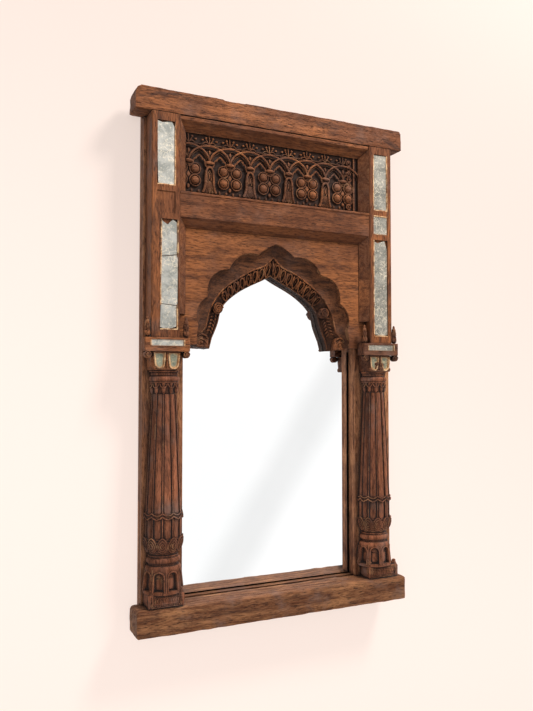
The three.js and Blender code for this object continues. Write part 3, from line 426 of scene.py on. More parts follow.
def drawn(name, points):
    """A line drawn from one vertex, point by point, in millimetres (x, forward, up)."""
    put_down()
    spots = [Vector((x, -forward, up)) * MM for x, forward, up in points]
    bpy.ops.mesh.primitive_plane_add(size=MM, location=spots[0])
    piece = bpy.context.active_object
    work_on(piece)
    bpy.ops.mesh.select_mode(type="VERT")
    bpy.ops.mesh.merge(type="CENTER")
    for before, after in zip(spots, spots[1:]):
        bpy.ops.mesh.extrude_region_move(TRANSFORM_OT_translate={"value": after - before})
    done()
    return settle(piece, name)


def slab(name, outline, back, front):
    """A plate sawn to an outline of (x, up) points, from one depth to another."""
    piece = drawn(name, [(x, back, up) for x, up in outline])
    work_on(piece)
    bpy.ops.mesh.edge_face_add()
    bpy.ops.mesh.extrude_region_move(TRANSFORM_OT_translate={"value": (0, (back - front) * MM, 0)})
    done()
    return face_out(piece)


def rib(name, points, radius, closed=False):
    """A raised round fillet that follows a line of points, or goes right round them when closed."""
    piece = drawn(name, points)
    if closed:
        ends = (0, len(points) - 1)
        pick(piece, lambda spot, number: number in ends, "VERT")
        bpy.ops.mesh.edge_face_add()
        done()
    take_up(piece)
    bpy.ops.object.convert(target="CURVE")
    piece = bpy.context.active_object
    piece.data.bevel_depth = radius * MM
    piece.data.bevel_resolution = 1
    piece.data.use_fill_caps = True
    bpy.ops.object.convert(target="MESH")
    piece = bpy.context.active_object
    piece.name = name
    return face_out(piece)


def pebble(name, centre, radii, segments=14, rings=9):
    """A rounded knob, by its middle (x, forward, up) and its half sizes."""
    put_down()
    x, forward, up = centre
    bpy.ops.mesh.primitive_uv_sphere_add(segments=segments, ring_count=rings, radius=1,
                                         location=(x * MM, -forward * MM, up * MM),
                                         scale=tuple(size * MM for size in radii))
    return settle(bpy.context.active_object, name)


def turned(name, profile, sides=64):
    """A turned piece on the upright axis: a disc drawn up ring by ring, by (radius, height)."""
    put_down()
    radius, height = profile[0]
    bpy.ops.mesh.primitive_circle_add(vertices=sides, radius=radius * MM, fill_type="NGON",
                                      location=(0, 0, height * MM))
    piece = settle(bpy.context.active_object, name)
    work_on(piece)
    for next_radius, next_height in profile[1:]:
        rise = (0, 0, (next_height - height) * MM)
        bpy.ops.mesh.extrude_region_move(TRANSFORM_OT_translate={"value": rise})
        grow = next_radius / radius
        bpy.ops.transform.resize(value=(grow, grow, 1), center_override=(0, 0, next_height * MM))
        radius, height = next_radius, next_height
    done()
    return face_out(piece)


def moved(piece, x=0, forward=0, up=0):
    take_up(piece)
    bpy.ops.transform.translate(value=(x * MM, -forward * MM, up * MM))
    return settle(piece)


def scaled(piece, shares):
    take_up(piece)
    bpy.ops.transform.resize(value=shares, center_override=(0, 0, 0))
    return settle(piece)


def copied(piece, x=0, forward=0, up=0, turn=0, name=None):
    """A copy with its own mesh, moved in millimetres after a turn about the upright axis."""
    twin = piece.copy()
    twin.data = piece.data.copy()
    bpy.context.scene.collection.objects.link(twin)
    place = Matrix.Translation((x * MM, -forward * MM, up * MM)) @ Matrix.Rotation(turn, 4, "Z")
    twin.matrix_world = place @ twin.matrix_world
    return settle(twin, name)


def joined(name, pieces):
    put_down()
    for piece in pieces:
        piece.select_set(True)
    bpy.context.view_layer.objects.active = pieces[0]
    bpy.ops.object.join()
    whole = bpy.context.active_object
    whole.name = name
    return whole


def trimmed(piece, place, normal):
    """Cuts away all that lies on the normal's side of a plane and closes the cut."""
    work_on(piece)
    spot = tuple(value * MM for value in place)
    bpy.ops.mesh.bisect(plane_co=spot, plane_no=normal, use_fill=True, clear_outer=True)
    done()
    return piece


def wrapped(piece, radius):
    """Bends a flat strip, laid out along X, round the upright axis, its face outwards."""
    across = [vertex.co.x for vertex in piece.data.vertices]
    angle = (max(across) - min(across)) / (radius * MM)
    finish_with(piece, "SIMPLE_DEFORM", deform_method="BEND", deform_axis="Z", angle=angle)
    return moved(piece, forward=radius)


def tapered(piece, factor):
    return finish_with(piece, "SIMPLE_DEFORM", deform_method="TAPER", deform_axis="Z", factor=factor)


def cleared(piece):
    bpy.data.objects.remove(piece)


def row_of(model, places):
    """Copies of a model at these places across; the model itself is cleared away."""
    row = [copied(model, x=x) for x in places]
    cleared(model)
    return row


def carved(name, ribs, knobs, *others):
    """A motif joined from other pieces, from ribs (points and radius) and from knobs (as for a pebble)."""
    parts = [rib(name, *line) for line in ribs] + [pebble(name, *knob) for knob in knobs]
    return joined(name, [*others, *parts])


def raised(profile, base):
    """A profile of (radius, height) whose heights were measured from a base."""
    return [(radius, base + height) for radius, height in profile]


# Columns. Their parts are modelled about the upright axis, in millimetres up from the sill.
FILLET_PITCH = 34
FILLET_ANGLES = [FILLET_PITCH * (k - 3.5) for k in range(8)]
COLUMN_SIDES = 212
DEPTH_SHARE = 0.87
BACK_DEPTH = -12.2
NICHE_TURN = 18
NICHE_PITCH = 45
BODY_RADIUS = 29.2
BEAD_PITCH = 2.9
DART_PITCH = 3.9
# The breadth of each column's plinth, and how far it stands to the right of the column's axis.
PLINTHS = {"left": (61, 0), "right": (65, 7)}
# One leaf of the hem above the drum, in shares of half its breadth and of its height.
HEM_LEAF = [(-1, 0.5), (-0.62, 0.22), (-0.3, 0.12), (0, -0.05), (0.3, 0.12), (0.62, 0.22), (1, 0.5), (1, 1),
            (0.5, 0.72), (0, 0.66), (-0.5, 0.72), (-1, 1)]


def angle_of(middle):
    """A place's turn about the upright axis, in degrees from straight ahead."""
    return math.degrees(math.atan2(middle.x, -middle.y))


def from_fillet(middle):
    """Degrees from the middle of the nearest fillet."""
    return min(abs(angle_of(middle) - angle) for angle in FILLET_ANGLES)


def fluted(piece, low, high, depth, swell):
    """Fillets stand up from the turned face at their pitch, with a groove down each side of them and
    the bays between them swelling."""
    def choose(near, far):
        pick(piece, lambda middle, normal: abs(normal.z) < 0.7 and low < middle.z < high
             and near < from_fillet(middle) < far)

    choose(-1, 1.8)
    bpy.ops.mesh.extrude_region_shrink_fatten(TRANSFORM_OT_shrink_fatten={"value": depth * MM})
    done()
    for near, far, rise in ((2.2, 4.2, -depth), (7, 17.2, swell * 0.5), (10, 17.2, swell * 0.3),
                            (13, 17.2, swell * 0.2)):
        choose(near, far)
        bpy.ops.transform.shrink_fatten(value=rise * MM)
        done()


def cut_back(piece):
    """Cuts a part off flat where it meets the post behind it."""
    return trimmed(piece, (0, -BACK_DEPTH, 0), (0, 1, 0))


def against_stile(piece):
    return cut_back(scaled(piece, (1, DEPTH_SHARE, 1)))


def carve_shaft(low, high, foot_radius, top_radius):
    steps = 22
    profile = []
    for step in range(steps + 1):
        share = step / steps
        belly = 0.3 * math.sin(math.pi * share)
        radius = foot_radius + (top_radius - foot_radius) * share + belly
        profile.append((radius, low + (high - low) * share))
    shaft = turned("column_shaft", profile, COLUMN_SIDES)
    fluted(shaft, low, high, 1.7, 0.7)
    rough_up(shaft, 10, 1.0)
    against_stile(shaft)
    return smooth(shaft, 38)


def carve_leaf_band(low, high, radius):
    """The wavy hem above the drum: a thin lip that hangs in a point below each bay."""
    pitch = math.radians(FILLET_PITCH) * radius
    tall = high - low
    outline = [(across * pitch / 2, up * tall) for across, up in HEM_LEAF]
    leaf = slab("leaf_band", outline, -5, 0.6)
    pick(leaf, lambda middle, normal: normal.y < -0.9)
    bpy.ops.mesh.inset(thickness=1.1 * MM)
    bpy.ops.transform.translate(value=(0, 1.6 * MM, 0))
    done()
    lip = rib("leaf_lip", [(x, 1.2, up) for x, up in outline[:7]], 1.1)
    upper = rib("leaf_hem", [(x, 0.4, up - 0.4) for x, up in outline[7:]], 0.9)
    motif = joined("leaf_band", [leaf, lip, upper])
    ring = joined("leaf_band", row_of(motif, [pitch * k for k in range(-4, 5)]))
    return moved(wrapped(ring, radius), up=low)


def carve_drum(low, high, radius):
    """Reeded drum: panels with rounded feet sunk between the fillets."""
    tall = high - low
    levels = [0, 0.05, 0.1, 0.16, 0.24, 0.4, 0.6, 0.8, 0.92, 1]
    inward = [1.6, 0.6, 0.2, 0, 0, 0, 0, 0, 0.3, 1.2]
    profile = [(radius - cut, low + share * tall) for share, cut in zip(levels, inward)]
    core = turned("drum_core", profile, COLUMN_SIDES)
    fluted(core, low, high, 2.6, 1.5)
    rough_up(core, 7, 0.8)
    return core


def carve_petals(low, high, radius):
    """Overlapping petals of a lotus cup, one under each fillet and a lower one behind each gap."""
    pitch = math.radians(FILLET_PITCH) * radius
    tall = high - low
    wide = 0.47 * pitch
    middle = 0.5 * tall
    dome = pebble("petal", (0, -1.2, middle), (wide, 4.2, 0.52 * tall), 20, 12)
    loops = []
    for size, forward in ((0.94, 1.2), (0.62, 2.8), (0.32, 3.4)):
        loop = []
        for step in range(20):
            turn = 2 * math.pi * step / 20
            point = 1 + 0.16 * max(0, -math.cos(turn)) ** 6
            squeeze = 1 + 0.14 * math.cos(turn)
            loop.append((size * wide * math.sin(turn) * squeeze, forward,
                         middle - size * 0.5 * tall * math.cos(turn) * point))
        loops.append(rib("petal_fold", loop, 0.95 if size > 0.9 else 0.7, closed=True))
    front = joined("petals", [dome] + loops)
    back = copied(front, forward=-2.6, up=-0.1 * tall, name="petals_behind")
    ring = joined("petals", row_of(front, [pitch * (k - 3.5) for k in range(8)])
                  + row_of(back, [pitch * (k - 3) for k in range(-1, 8)]))
    return moved(tapered(wrapped(ring, radius), 0.17), up=low)


def carve_drum_set(low, high):
    petal_top = low + 23
    leaf_foot = high - 10.5
    neck = turned("drum_neck", [(22, low + 0.3), (23.6, low + 3), (26, petal_top - 2)], COLUMN_SIDES)
    core = carve_drum(petal_top - 2, leaf_foot + 5, 28.2)
    profile = [(28, leaf_foot + 4), (29.4, leaf_foot + 5), (29.9, high - 0.5), (29.5, high)]
    collar = turned("drum_top", profile, COLUMN_SIDES)
    leaves = carve_leaf_band(leaf_foot, high, 31.6)
    petals = carve_petals(low + 0.8, petal_top + 1.5, 27.6)
    drum = joined("column_drum", [neck, core, collar, leaves, petals])
    against_stile(drum)
    return smooth(drum, 40)


def carve_collar(low, high):
    """Rounded ring on a drilled band, over a row of hanging buds."""
    bud_top = low + 19
    ring_top = bud_top + 11
    profile = [(18.4, low + 0.3)] + raised(
        [(18.4, -1.2), (23.4, -0.8), (24.6, 0.2), (24.6, 1.2), (23.2, 1.7), (24.6, 2.4), (25.6, 4), (25.9, 6),
         (25.6, 8.2), (24.6, 9.8), (22.4, 10.4)], bud_top)
    profile += raised([(21.6, 0.4), (22.8, 1.2), (22.8, 5.2), (21.8, 5.8), (24.4, 6.6), (25.3, 7.6)],
                      ring_top)
    profile.append((25.3, high - 0.3))
    ring = turned("collar_ring", profile, 96)
    band = ring_top + 3.2
    pick(ring, lambda middle, normal: abs(middle.z - band) < 1.5 and round(angle_of(middle) / 3.75 - 0.5) % 2)
    bpy.ops.mesh.inset(thickness=0.2 * MM, use_individual=True)
    bpy.ops.mesh.extrude_region_shrink_fatten(TRANSFORM_OT_shrink_fatten={"value": -1.8 * MM})
    done()
    ease_edges(ring, 0.3, 1)
    drop = turned("bud", [(0.5, 0), (1.8, 1.4), (2.9, 4), (3.5, 7), (3.3, 9.6), (2.4, 11.6), (1.9, 13),
                          (2.9, 15), (3.3, 17), (3.2, 19)], 14)
    soften(drop)
    shoulder = rib("bud_shoulder", [(-6.2, 1, 17.5), (-5, 2.4, 13.6), (-3, 3.2, 11), (0, 3.6, 9.6),
                                    (3, 3.2, 11), (5, 2.4, 13.6), (6.2, 1, 17.5)], 0.8)
    bud = joined("bud", [drop, shoulder])
    buds = []
    for angle in FILLET_ANGLES[1:-1]:
        turn = math.radians(angle)
        buds.append(copied(bud, x=21.2 * math.sin(turn), forward=21.2 * math.cos(turn), up=low, turn=turn))
    cleared(bud)
    collar = joined("capital_collar", [ring] + buds)
    against_stile(collar)
    return smooth(collar, 42)


def niche_arch(half, foot, spring, steps=10):
    arch = [(-half, foot)]
    for step in range(steps + 1):
        turn = math.pi * (1 - step / steps)
        arch.append((half * math.cos(turn), spring + half * math.sin(turn)))
    arch.append((half, foot))
    return arch


def carve_base_body():
    """The niched body above the block, with a ring and a neck on it."""
    foot, top = 23, 67
    profile = raised([(33.4, -1), (33.4, 2.4), (31.6, 15), (30, 28), (29.4, 36), (29.8, 39)], foot)
    profile += raised([(29.2, -2), (27, 0), (24.4, 0.6), (24.2, 3.4), (26.4, 4.2), (27.9, 5.6), (28.5, 8),
                       (28.2, 10.8), (27, 12.6), (24.8, 13.4), (24.4, 14.4), (25.6, 15.4), (25.2, 17),
                       (23.4, 18), (24.4, 20.6)], top)
    body = turned("base_body", profile, 96)
    for k in range(-3, 3):
        cutter = slab("niche_cutter", niche_arch(8.4, foot + 4, foot + 26.5), 22.6, 40)
        cutter.data.transform(Matrix.Rotation(math.radians(NICHE_TURN + NICHE_PITCH * k), 4, "Z"))
        finish_with(body, "BOOLEAN", operation="DIFFERENCE", object=cutter, solver="EXACT")
        cleared(cutter)
    floor = turned("niche_floor", [(25.6, foot + 1), (25.2, foot + 12), (23.8, foot + 34)])
    rough_up(soften(floor), 4, 1.8, 3)
    rim = rib("niche_rim", [(x, 0, up) for x, up in niche_arch(8.9, foot + 3, foot + 26.5)], 1.3)
    pitch = math.radians(NICHE_PITCH) * BODY_RADIUS
    post = rib("niche_post", [(pitch / 2, -0.4, foot + 2), (pitch / 2, -0.4, foot + 40)], 1.2)
    trim = moved(joined("niche_trim", [rim, post]), up=-top)
    ring = joined("niche_trim", row_of(trim, [pitch * k for k in range(-3, 4)]))
    tapered(wrapped(ring, BODY_RADIUS), -0.14)
    ring.data.transform(Matrix.Rotation(math.radians(NICHE_TURN), 4, "Z"))
    moved(ring, up=top)
    return against_stile(joined("base_body", [body, floor, ring]))


def carve_corner_leaf():
    leaf = pebble("corner_leaf", (0, 0, 0), (6.4, 5.2, 15), 14, 10)
    pick(leaf, lambda spot, number: spot.z > 2, "VERT")
    bpy.ops.transform.resize(value=(0.72, 0.8, 1), center_override=(0, 0, 0.002))
    bpy.ops.transform.translate(value=(0, 2.2 * MM, 0))
    done()
    folds = []
    for x in (-4.2, -1.6, 1.6, 4.2):
        line = [(x, 3.6, -11), (1.25 * x, 5.2, -3), (0.8 * x, 3.4, 6), (0.2 * x, 1.0, 13)]
        folds.append(rib("leaf_fold", line, 0.8))
    curl = pebble("leaf_curl", (0, 0.2, 13), (2.6, 3.2, 2.4), 10, 7)
    return joined("corner_leaf", [leaf, curl] + folds)


def carve_base_block(foot_width):
    """The block that a column stands on: beads and darts on its front, a leaf on each corner."""
    half = foot_width / 2
    front = 23.5
    block = slab("base_block", [(-half, 0.3), (half, 0.3), (half, 20), (half - 1.5, 22.4), (1.5 - half, 22.4),
                                (-half, 20)], BACK_DEPTH, front - 1.6)
    ease_edges(block, 1.6, 2)
    rough_up(block, 9, 0.8)
    parts = [block]
    count = int((foot_width - 8) / BEAD_PITCH)
    for up, size in ((19.6, 1.5), (4.2, 1.3)):
        bead = pebble("bead", (0, front - 1.4, up), (1.25, 1.5, size), 8, 6)
        parts += row_of(bead, [(k - (count - 1) / 2) * BEAD_PITCH for k in range(count)])
        line = [(4 - half, front - 1.2, up - 2.4), (half - 4, front - 1.2, up - 2.4)]
        parts.append(rib("bead_line", line, 0.7))
    dart = pebble("dart", (0, front - 1.6, 11.8), (1.5, 1.1, 3.6), 8, 6)
    parts += row_of(dart, [DART_PITCH * k for k in range(-7, 8)])
    leaf = carve_corner_leaf()
    for side in (-1, 1):
        parts.append(copied(leaf, side * (half - 5.6), front - 6.6, 16, side * math.radians(38)))
    cleared(leaf)
    return joined("base_block", parts)


def carve_base(foot_width, shift):
    """Foot of the column: block with leaves on its corners, a niched body, a ring and a neck."""
    body = carve_base_body()
    base = joined("column_base", [body, moved(carve_base_block(foot_width), shift)])
    return smooth(cut_back(base), 42)


def dressed(piece, finish):
    piece.data.materials.clear()
    piece.data.materials.append(finish)
    return piece


def fitted(piece, finish, slot, *stands_for, body="frame"):
    """Gives a finished piece its material, its body and the part that it stands for."""
    if finish:
        dressed(piece, finish)
    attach(piece, body)
    if stands_for:
        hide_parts(*stands_for)
    return piece


SILL_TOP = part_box("bottom_beam")[1].z / MM
# The carved drums and bases are let this far into the posts, in millimetres.
DRUM_SEAT = 0.5
BASE_SEAT = 1.4


def heights(node):
    low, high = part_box(node)
    return low.z / MM - SILL_TOP, high.z / MM - SILL_TOP


def column_place(side):
    low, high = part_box(f"{side}_column_shaft")
    return (low.x + high.x) / 2 / MM, -high.y / MM - BACK_DEPTH, SILL_TOP


def dress_columns():
    shaft_low, shaft_high = heights("left_column_shaft")
    drum_low, drum_high = heights("left_column_drum")
    collar_low, collar_high = heights("left_capital_collar")
    models = {
        "column_shaft": carve_shaft(shaft_low, shaft_high, 28.9, 19.8),
        "column_drum": carve_drum_set(drum_low, drum_high),
        "capital_collar": carve_collar(collar_low, collar_high),
    }
    for side in ("left", "right"):
        x, forward, up = column_place(side)
        for part, model in models.items():
            seat = forward - (DRUM_SEAT if part == "column_drum" else 0)
            piece = copied(model, x, seat, up, name=f"{side}_carved_{part}")
            fitted(piece, column_wood, "carved_wood", f"{side}_{part}").visible_glossy = False
        base = moved(carve_base(*PLINTHS[side]), x, forward - BASE_SEAT, up)
        base.name = f"{side}_carved_column_base"
        fitted(base, column_wood, "carved_wood", f"{side}_column_base").visible_glossy = False
    for model in models.values():
        cleared(model)


# Frieze carving. Measured across from the frame's centre line, forward from the carved ground, and up
# from the top of the middle rail.
PAD_PITCH = 38.65
FIRST_PAD = -168.6
PAD_RISE = 59
ARC_RISE = 29.5
ARC_STEPS = 16
FOOT_LEAF_PITCH = 12.88
WINDOW_HEAD = 108
WINDOW_HALF = 173.8
STRIP_HEAD = 110
STRIP_LEFT = 143.6
STRIP_MIDDLE = 154
STRIP_RIGHT = (163.4, 166.6)
FRIEZE_GROUND = 13.6


def on_pad(points):
    """Points (x, forward, up) whose heights were measured from the pads."""
    return [(x, forward, PAD_RISE + up) for x, forward, up in points]


def mirrored(points):
    """A line and its reflection, joined at the last point."""
    return points + reflected(points)[-2::-1]


def reflected(points):
    return [(-x, forward, up) for x, forward, up in points]


def half_oval(half, rise, forward):
    turns = [math.radians(180 * step / ARC_STEPS) for step in range(ARC_STEPS + 1)]
    return on_pad([(half * math.cos(turn), forward, rise * math.sin(turn)) for turn in turns])


def carve_springing():
    """What stands on each pad: the crossing arcs, and a lotus bud on a stem with blades each side."""
    ribs = [(half_oval(PAD_PITCH, ARC_RISE, 4.2), 1.75),
            (half_oval(PAD_PITCH - 4.2, ARC_RISE - 3.8, 2.0), 0.7),
            (mirrored(on_pad([(-8.6, 2.6, 1), (-7.6, 3.2, -3), (-4, 3.4, -5.2), (0, 3.4, -5.8)])), 0.85),
            (on_pad([(0, 2.4, 2), (0, 2.8, 14)]), 0.8)]
    for side in (-1, 1):
        for reach, thick in ((3.2, 0.75), (6.2, 0.85), (9.4, 0.7)):
            blade = on_pad([(side * 1.2, 2.2, 3), (side * 0.42 * reach, 2.6, 9),
                            (side * 0.9 * reach, 2.4, 15), (side * 1.25 * reach, 1.8, 20.5)])
            ribs.append((blade, thick))
    return carved("springing", ribs, [((0, 4.4, PAD_RISE), (8.2, 3.8, 3.4), 14, 8),
                                      ((0, 2.6, PAD_RISE + 18), (2.3, 2.2, 4.6), 10, 8)])


def carve_small_arch():
    """The little cusped arch between two pads, with the line that swings up to each of its feet."""
    line = mirrored(on_pad([(-11.6, 3.0, -3), (-10.8, 3.2, 2), (-8.6, 3.2, 5), (-6, 3.2, 5.8),
                            (-4.8, 3.2, 8.6), (-2.2, 3.2, 10.6), (0, 3.2, 12.6)]))
    swag = on_pad([(-PAD_PITCH / 2, 2.6, -8.6), (-15, 2.8, -8), (-12, 3.0, -5), (-11.6, 3.0, -3)])
    return carved("small_arch", [(line, 1.6), (swag, 1.5), (reflected(swag), 1.5)], [])


def carve_fruit():
    """Four balls in strapwork, with a diamond where the straps cross."""
    straps = []
    balls = [((0, 1.4, up), (3.0, 2.4, 4.2), 10, 8) for up in (15.2, 56)]
    for up in (26, 46.5):
        for x in (-12.2, 12.2):
            balls.append(((x, 0.9, up), (8.0, 6.6, 8.0), 18, 12))
            loop = [(x + 9.9 * math.cos(math.radians(turn)), 2.4, up + 9.9 * math.sin(math.radians(turn)))
                    for turn in range(0, 360, 24)]
            straps.append((loop, 1.15, True))
    diamond = slab("diamond", [(0, 30.6), (4.4, 36.2), (0, 42), (-4.4, 36.2)], -2, 2.4)
    pick(diamond, lambda middle, normal: normal.y < -0.9)
    bpy.ops.mesh.inset(thickness=1.6 * MM)
    bpy.ops.transform.translate(value=(0, -1.2 * MM, 0))
    done()
    return carved("fruit_cluster", straps, balls, diamond)


def carve_pendant():
    """A hanging bell of leaves: a hood over a drop, with fine locks that spread at the foot."""
    body = slab("pendant", [(-11, 7), (0, 10), (11, 7), (8, 14), (6.6, 24), (6.2, 36), (5.4, 45), (0, 50.5),
                            (-5.4, 45), (-6.2, 36), (-6.6, 24), (-8, 14)], -3, 1.6)
    ribs = [(mirrored([(-12.4, 2.0, 7), (-9.4, 2.8, 13), (-7.6, 3.4, 22), (-7.2, 3.8, 34), (-6.4, 4.0, 44),
                       (-3.8, 4.0, 50), (0, 4.0, 52.4)]), 2.2),
            (mirrored([(-2.8, 2.6, 28), (-3.7, 2.8, 34), (-3.3, 2.8, 40), (0, 2.8, 46)]), 1.1),
            ([(0, 2.2, 28), (0, 2.6, 14), (0, 2.0, 5)], 0.9)]
    for side in (-1, 1):
        for near, far in ((1.4, 3.0), (3.4, 6.4), (5.2, 9.6)):
            lock = [(side * near, 2.0, 27), (side * near, 2.4, 19), (side * (near + far) / 2, 2.2, 12),
                    (side * far, 1.6, 7)]
            ribs.append((lock, 1.2))
    return carved("pendant", ribs, [((0, 2.0, 36.5), (2.2, 2.2, 6.2), 12, 9)], body)


def carve_sprig():
    """One twig of the band above the arcs, with berries on its tips."""
    twigs = [([(0, 1.0, 90), (0, 2.4, 97), (-0.6, 2.2, 105)], 1.2)]
    berries = [((-0.6, 1.6, 106), (1.5, 1.4, 1.6), 8, 6)]
    for side in (-1, 1):
        twigs += [([(0, 1.4, 92), (side * 3.6, 1.8, 95.5), (side * 6.4, 2.0, 101)], 1.2),
                  ([(side * 3.6, 1.6, 95.5), (side * 8.4, 1.4, 95.4), (side * 12, 1.2, 92.6)], 1.1)]
        berries += [((side * 6.6, 2.2, 102.4), (2.4, 2.2, 2.2), 8, 6),
                    ((side * 13, 1.8, 98.8), (2.8, 2.2, 2.0), 8, 6)]
    return carved("sprig", twigs, berries)


def carve_leaf_strip():
    """The upright strip at the right: small curled leaves, turned left and right by turns."""
    curls, eyes = [], []
    for k in range(9):
        up = 12 + 10.6 * k
        side = 1 if k % 2 else -1
        curl = []
        for turn in range(-120, 260, 38):
            reach = 1 - turn / 700
            curl.append((STRIP_MIDDLE + side * 5 * reach * math.cos(math.radians(turn)), 2.2,
                         up + 4.4 * reach * math.sin(math.radians(turn))))
        curls.append((curl, 1.6))
        eyes.append(((STRIP_MIDDLE + side * 1.4, 2.2, up), (2.4, 2.4, 2.4), 8, 6))
    return carved("leaf_strip", curls, eyes)


def carve_frieze():
    low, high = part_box("frieze_panel")
    half = high.x / MM
    head = WINDOW_HEAD + 20
    panel = slab("frieze_ground", [(-half, 0), (half, 0), (half, head), (-half, head)], 0, FRIEZE_GROUND)
    pick(panel, lambda middle, normal: True)
    bpy.ops.mesh.subdivide(number_cuts=5)
    done()
    tip = pebble("foot_leaf", (0, 0.6, 8.6), (2.6, 1.8, 3.6), 8, 6)
    parts = []
    for model, pitch, first, step, count in (
            (carve_springing(), PAD_PITCH, 0, 1, 9), (carve_sprig(), PAD_PITCH, 0, 1, 9),
            (carve_fruit(), PAD_PITCH, 0, 2, 5), (carve_pendant(), PAD_PITCH, 1, 2, 4),
            (carve_small_arch(), PAD_PITCH, 0.5, 1, 8), (tip, FOOT_LEAF_PITCH, 0.5, 1, 24)):
        parts += row_of(model, [FIRST_PAD + pitch * (first + step * k) for k in range(count)])
    above = PAD_RISE + ARC_RISE + 2.6
    parts.append(rib("line_above_arcs", [(-half, 1.6, above), (STRIP_LEFT - 1.6, 1.6, above)], 0.9))
    parts.append(carve_leaf_strip())
    left, right = STRIP_RIGHT
    outline = [(left, 4), (right, 4), (right, STRIP_HEAD), (left, STRIP_HEAD)]
    parts.append(slab("strip_fillet", outline, -2, 3.4))
    parts.append(rib("strip_edge", [(STRIP_LEFT, 1.4, 4), (STRIP_LEFT, 1.4, STRIP_HEAD)], 0.9))
    carving = moved(joined("carving", parts), forward=FRIEZE_GROUND)
    for place, normal in (((-WINDOW_HALF, 0, 0), (-1, 0, 0)), ((WINDOW_HALF, 0, 0), (1, 0, 0)),
                          ((0, 0, WINDOW_HEAD), (0, 0, 1)), ((0, 0, 1), (0, 0, -1)),
                          ((0, -1, 0), (0, 1, 0))):
        trimmed(carving, place, normal)
    frieze = joined("carved_frieze", [panel, carving])
    moved(frieze, forward=-high.y / MM, up=low.z / MM)
    fitted(smooth(frieze, 45), carved_wood, "carved_wood", "frieze_panel")


# Arch board. Measured across from the centre line and up from the board's foot; depths from the wall.
BOARD_FRONT = 50.5
BOARD_SEAT = 32.3
BOARD_BACK = 9
RIM_DEPTH = 35.5
LINE_DEPTH = 21.5
ARCH_STEPS = 38
CUSPS = [(149.1, 33), (132.9, 83.6), (92.2, 134.3), (35.8, 163.9), (0, 185.3)]
CUSP_BOWS = [0.2, 0.24, 0.19, 0.05]
CUSP_STEPS = 9
CUSPED_START = (152.1, 19.6)
# Where the cusped edge, the rim and the inner line end below the board's foot.
CUSPED_FOOT = (152.4, -0.6)
RIM_FOOT = (138.3, -3.6)
INNER_FOOT = (120.4, -5.6)
RIM = [(139.3, 22.4), (131.7, 31.4), (122, 66), (96, 102), (48, 134), (18.8, 146.3), (0, 163.3)]
INNER_LINE = [(115, 14), (104.5, 39), (94.7, 70.6), (63, 98.7), (15.1, 123.1), (0, 131.3)]
# How deep the cove lies at each share of the way from the cusped edge to the band.
COVE = [(0, 0), (0.015, 0.15), (0.05, 0.32), (0.12, 0.5), (0.22, 0.66), (0.36, 0.8), (0.55, 0.91),
        (0.78, 0.98), (1, 1)]
# How far the band's face is sunk at each share of the way across it.
BAND_HOLLOW = [(0.05, 2.6), (0.3, 3.6), (0.65, 3.6), (0.93, 2), (1, 0)]
VOLUTE_PLACE = (108, -34, 66)
ARCH_FOOT_PLACE = (138, -36, 0)
# The carved band: how far up it the leaves start and the scales lie, and the breadth its leaves suit.
BAND_LEAVES = 16
FIRST_LEAF = 0.215
LEAF_REACH = 0.27
BAND_BREADTH = 27
BAND_SCALES = 8
FIRST_SCALE = 0.036
SCALE_PITCH = 0.0158


def through(points, count):
    """Evenly spaced places on a smooth line through the points."""
    spots = [Vector(point) for point in points]
    spots = [2 * spots[0] - spots[1]] + spots + [2 * spots[-1] - spots[-2]]
    fine = []
    for a, b, c, d in zip(spots, spots[1:], spots[2:], spots[3:]):
        for step in range(20):
            t = step / 20
            fine.append(0.5 * (2 * b + (c - a) * t + (2 * a - 5 * b + 4 * c - d) * t * t
                               + (3 * b - a - 3 * c + d) * t * t * t))
    fine.append(spots[-2])
    return evenly(fine, count)


def evenly(spots, count):
    """Places at equal steps along a line of spots."""
    lengths = [0]
    for before, after in zip(spots, spots[1:]):
        lengths.append(lengths[-1] + (after - before).length)
    line, k = [], 0
    for step in range(count):
        goal = lengths[-1] * step / (count - 1)
        while k + 2 < len(lengths) and lengths[k + 1] < goal:
            k += 1
        share = (goal - lengths[k]) / max(lengths[k + 1] - lengths[k], 1e-6)
        line.append(spots[k].lerp(spots[k + 1], min(share, 1)))
    return line


def whole_arch(foot, half):
    """The line's right half, from its foot to the point, then its left half down again."""
    right = [Vector(foot)] + half
    return right + [Vector((-spot.x, spot.y)) for spot in reversed(right[:-1])]


def cusped_line():
    """The edge of the opening: bowed lines from cusp to cusp."""
    spots = [Vector(CUSPED_START)]
    for start, end, bow in zip(CUSPS, CUSPS[1:], CUSP_BOWS):
        start, end = Vector(start), Vector(end)
        chord = end - start
        for step in range(CUSP_STEPS):
            t = step / CUSP_STEPS
            spots.append(start + t * chord + 4 * bow * t * (1 - t) * Vector((chord.y, -chord.x)))
    spots.append(Vector(CUSPS[-1]))
    return whole_arch(CUSPED_FOOT, spots)


def row_at(line, depth):
    return [(spot.x, depth, spot.y) for spot in line]


def blended(first, second, share):
    return [a.lerp(b, share) for a, b in zip(first, second)]


def skinned(name, rows):
    """A closed body bridged over rows of points that go once round it, its two ends filled in."""
    body = joined(name, [drawn(name, row) for row in rows])
    count = len(rows[0])
    for k in range(len(rows)):
        pair = (k, (k + 1) % len(rows))
        pick(body, lambda spot, number: number // count in pair, "VERT")
        bpy.ops.mesh.bridge_edge_loops()
        done()
    for end in (0, count - 1):
        pick(body, lambda spot, number: number % count == end, "VERT")
        bpy.ops.mesh.edge_face_add()
        done()
    return face_out(body)


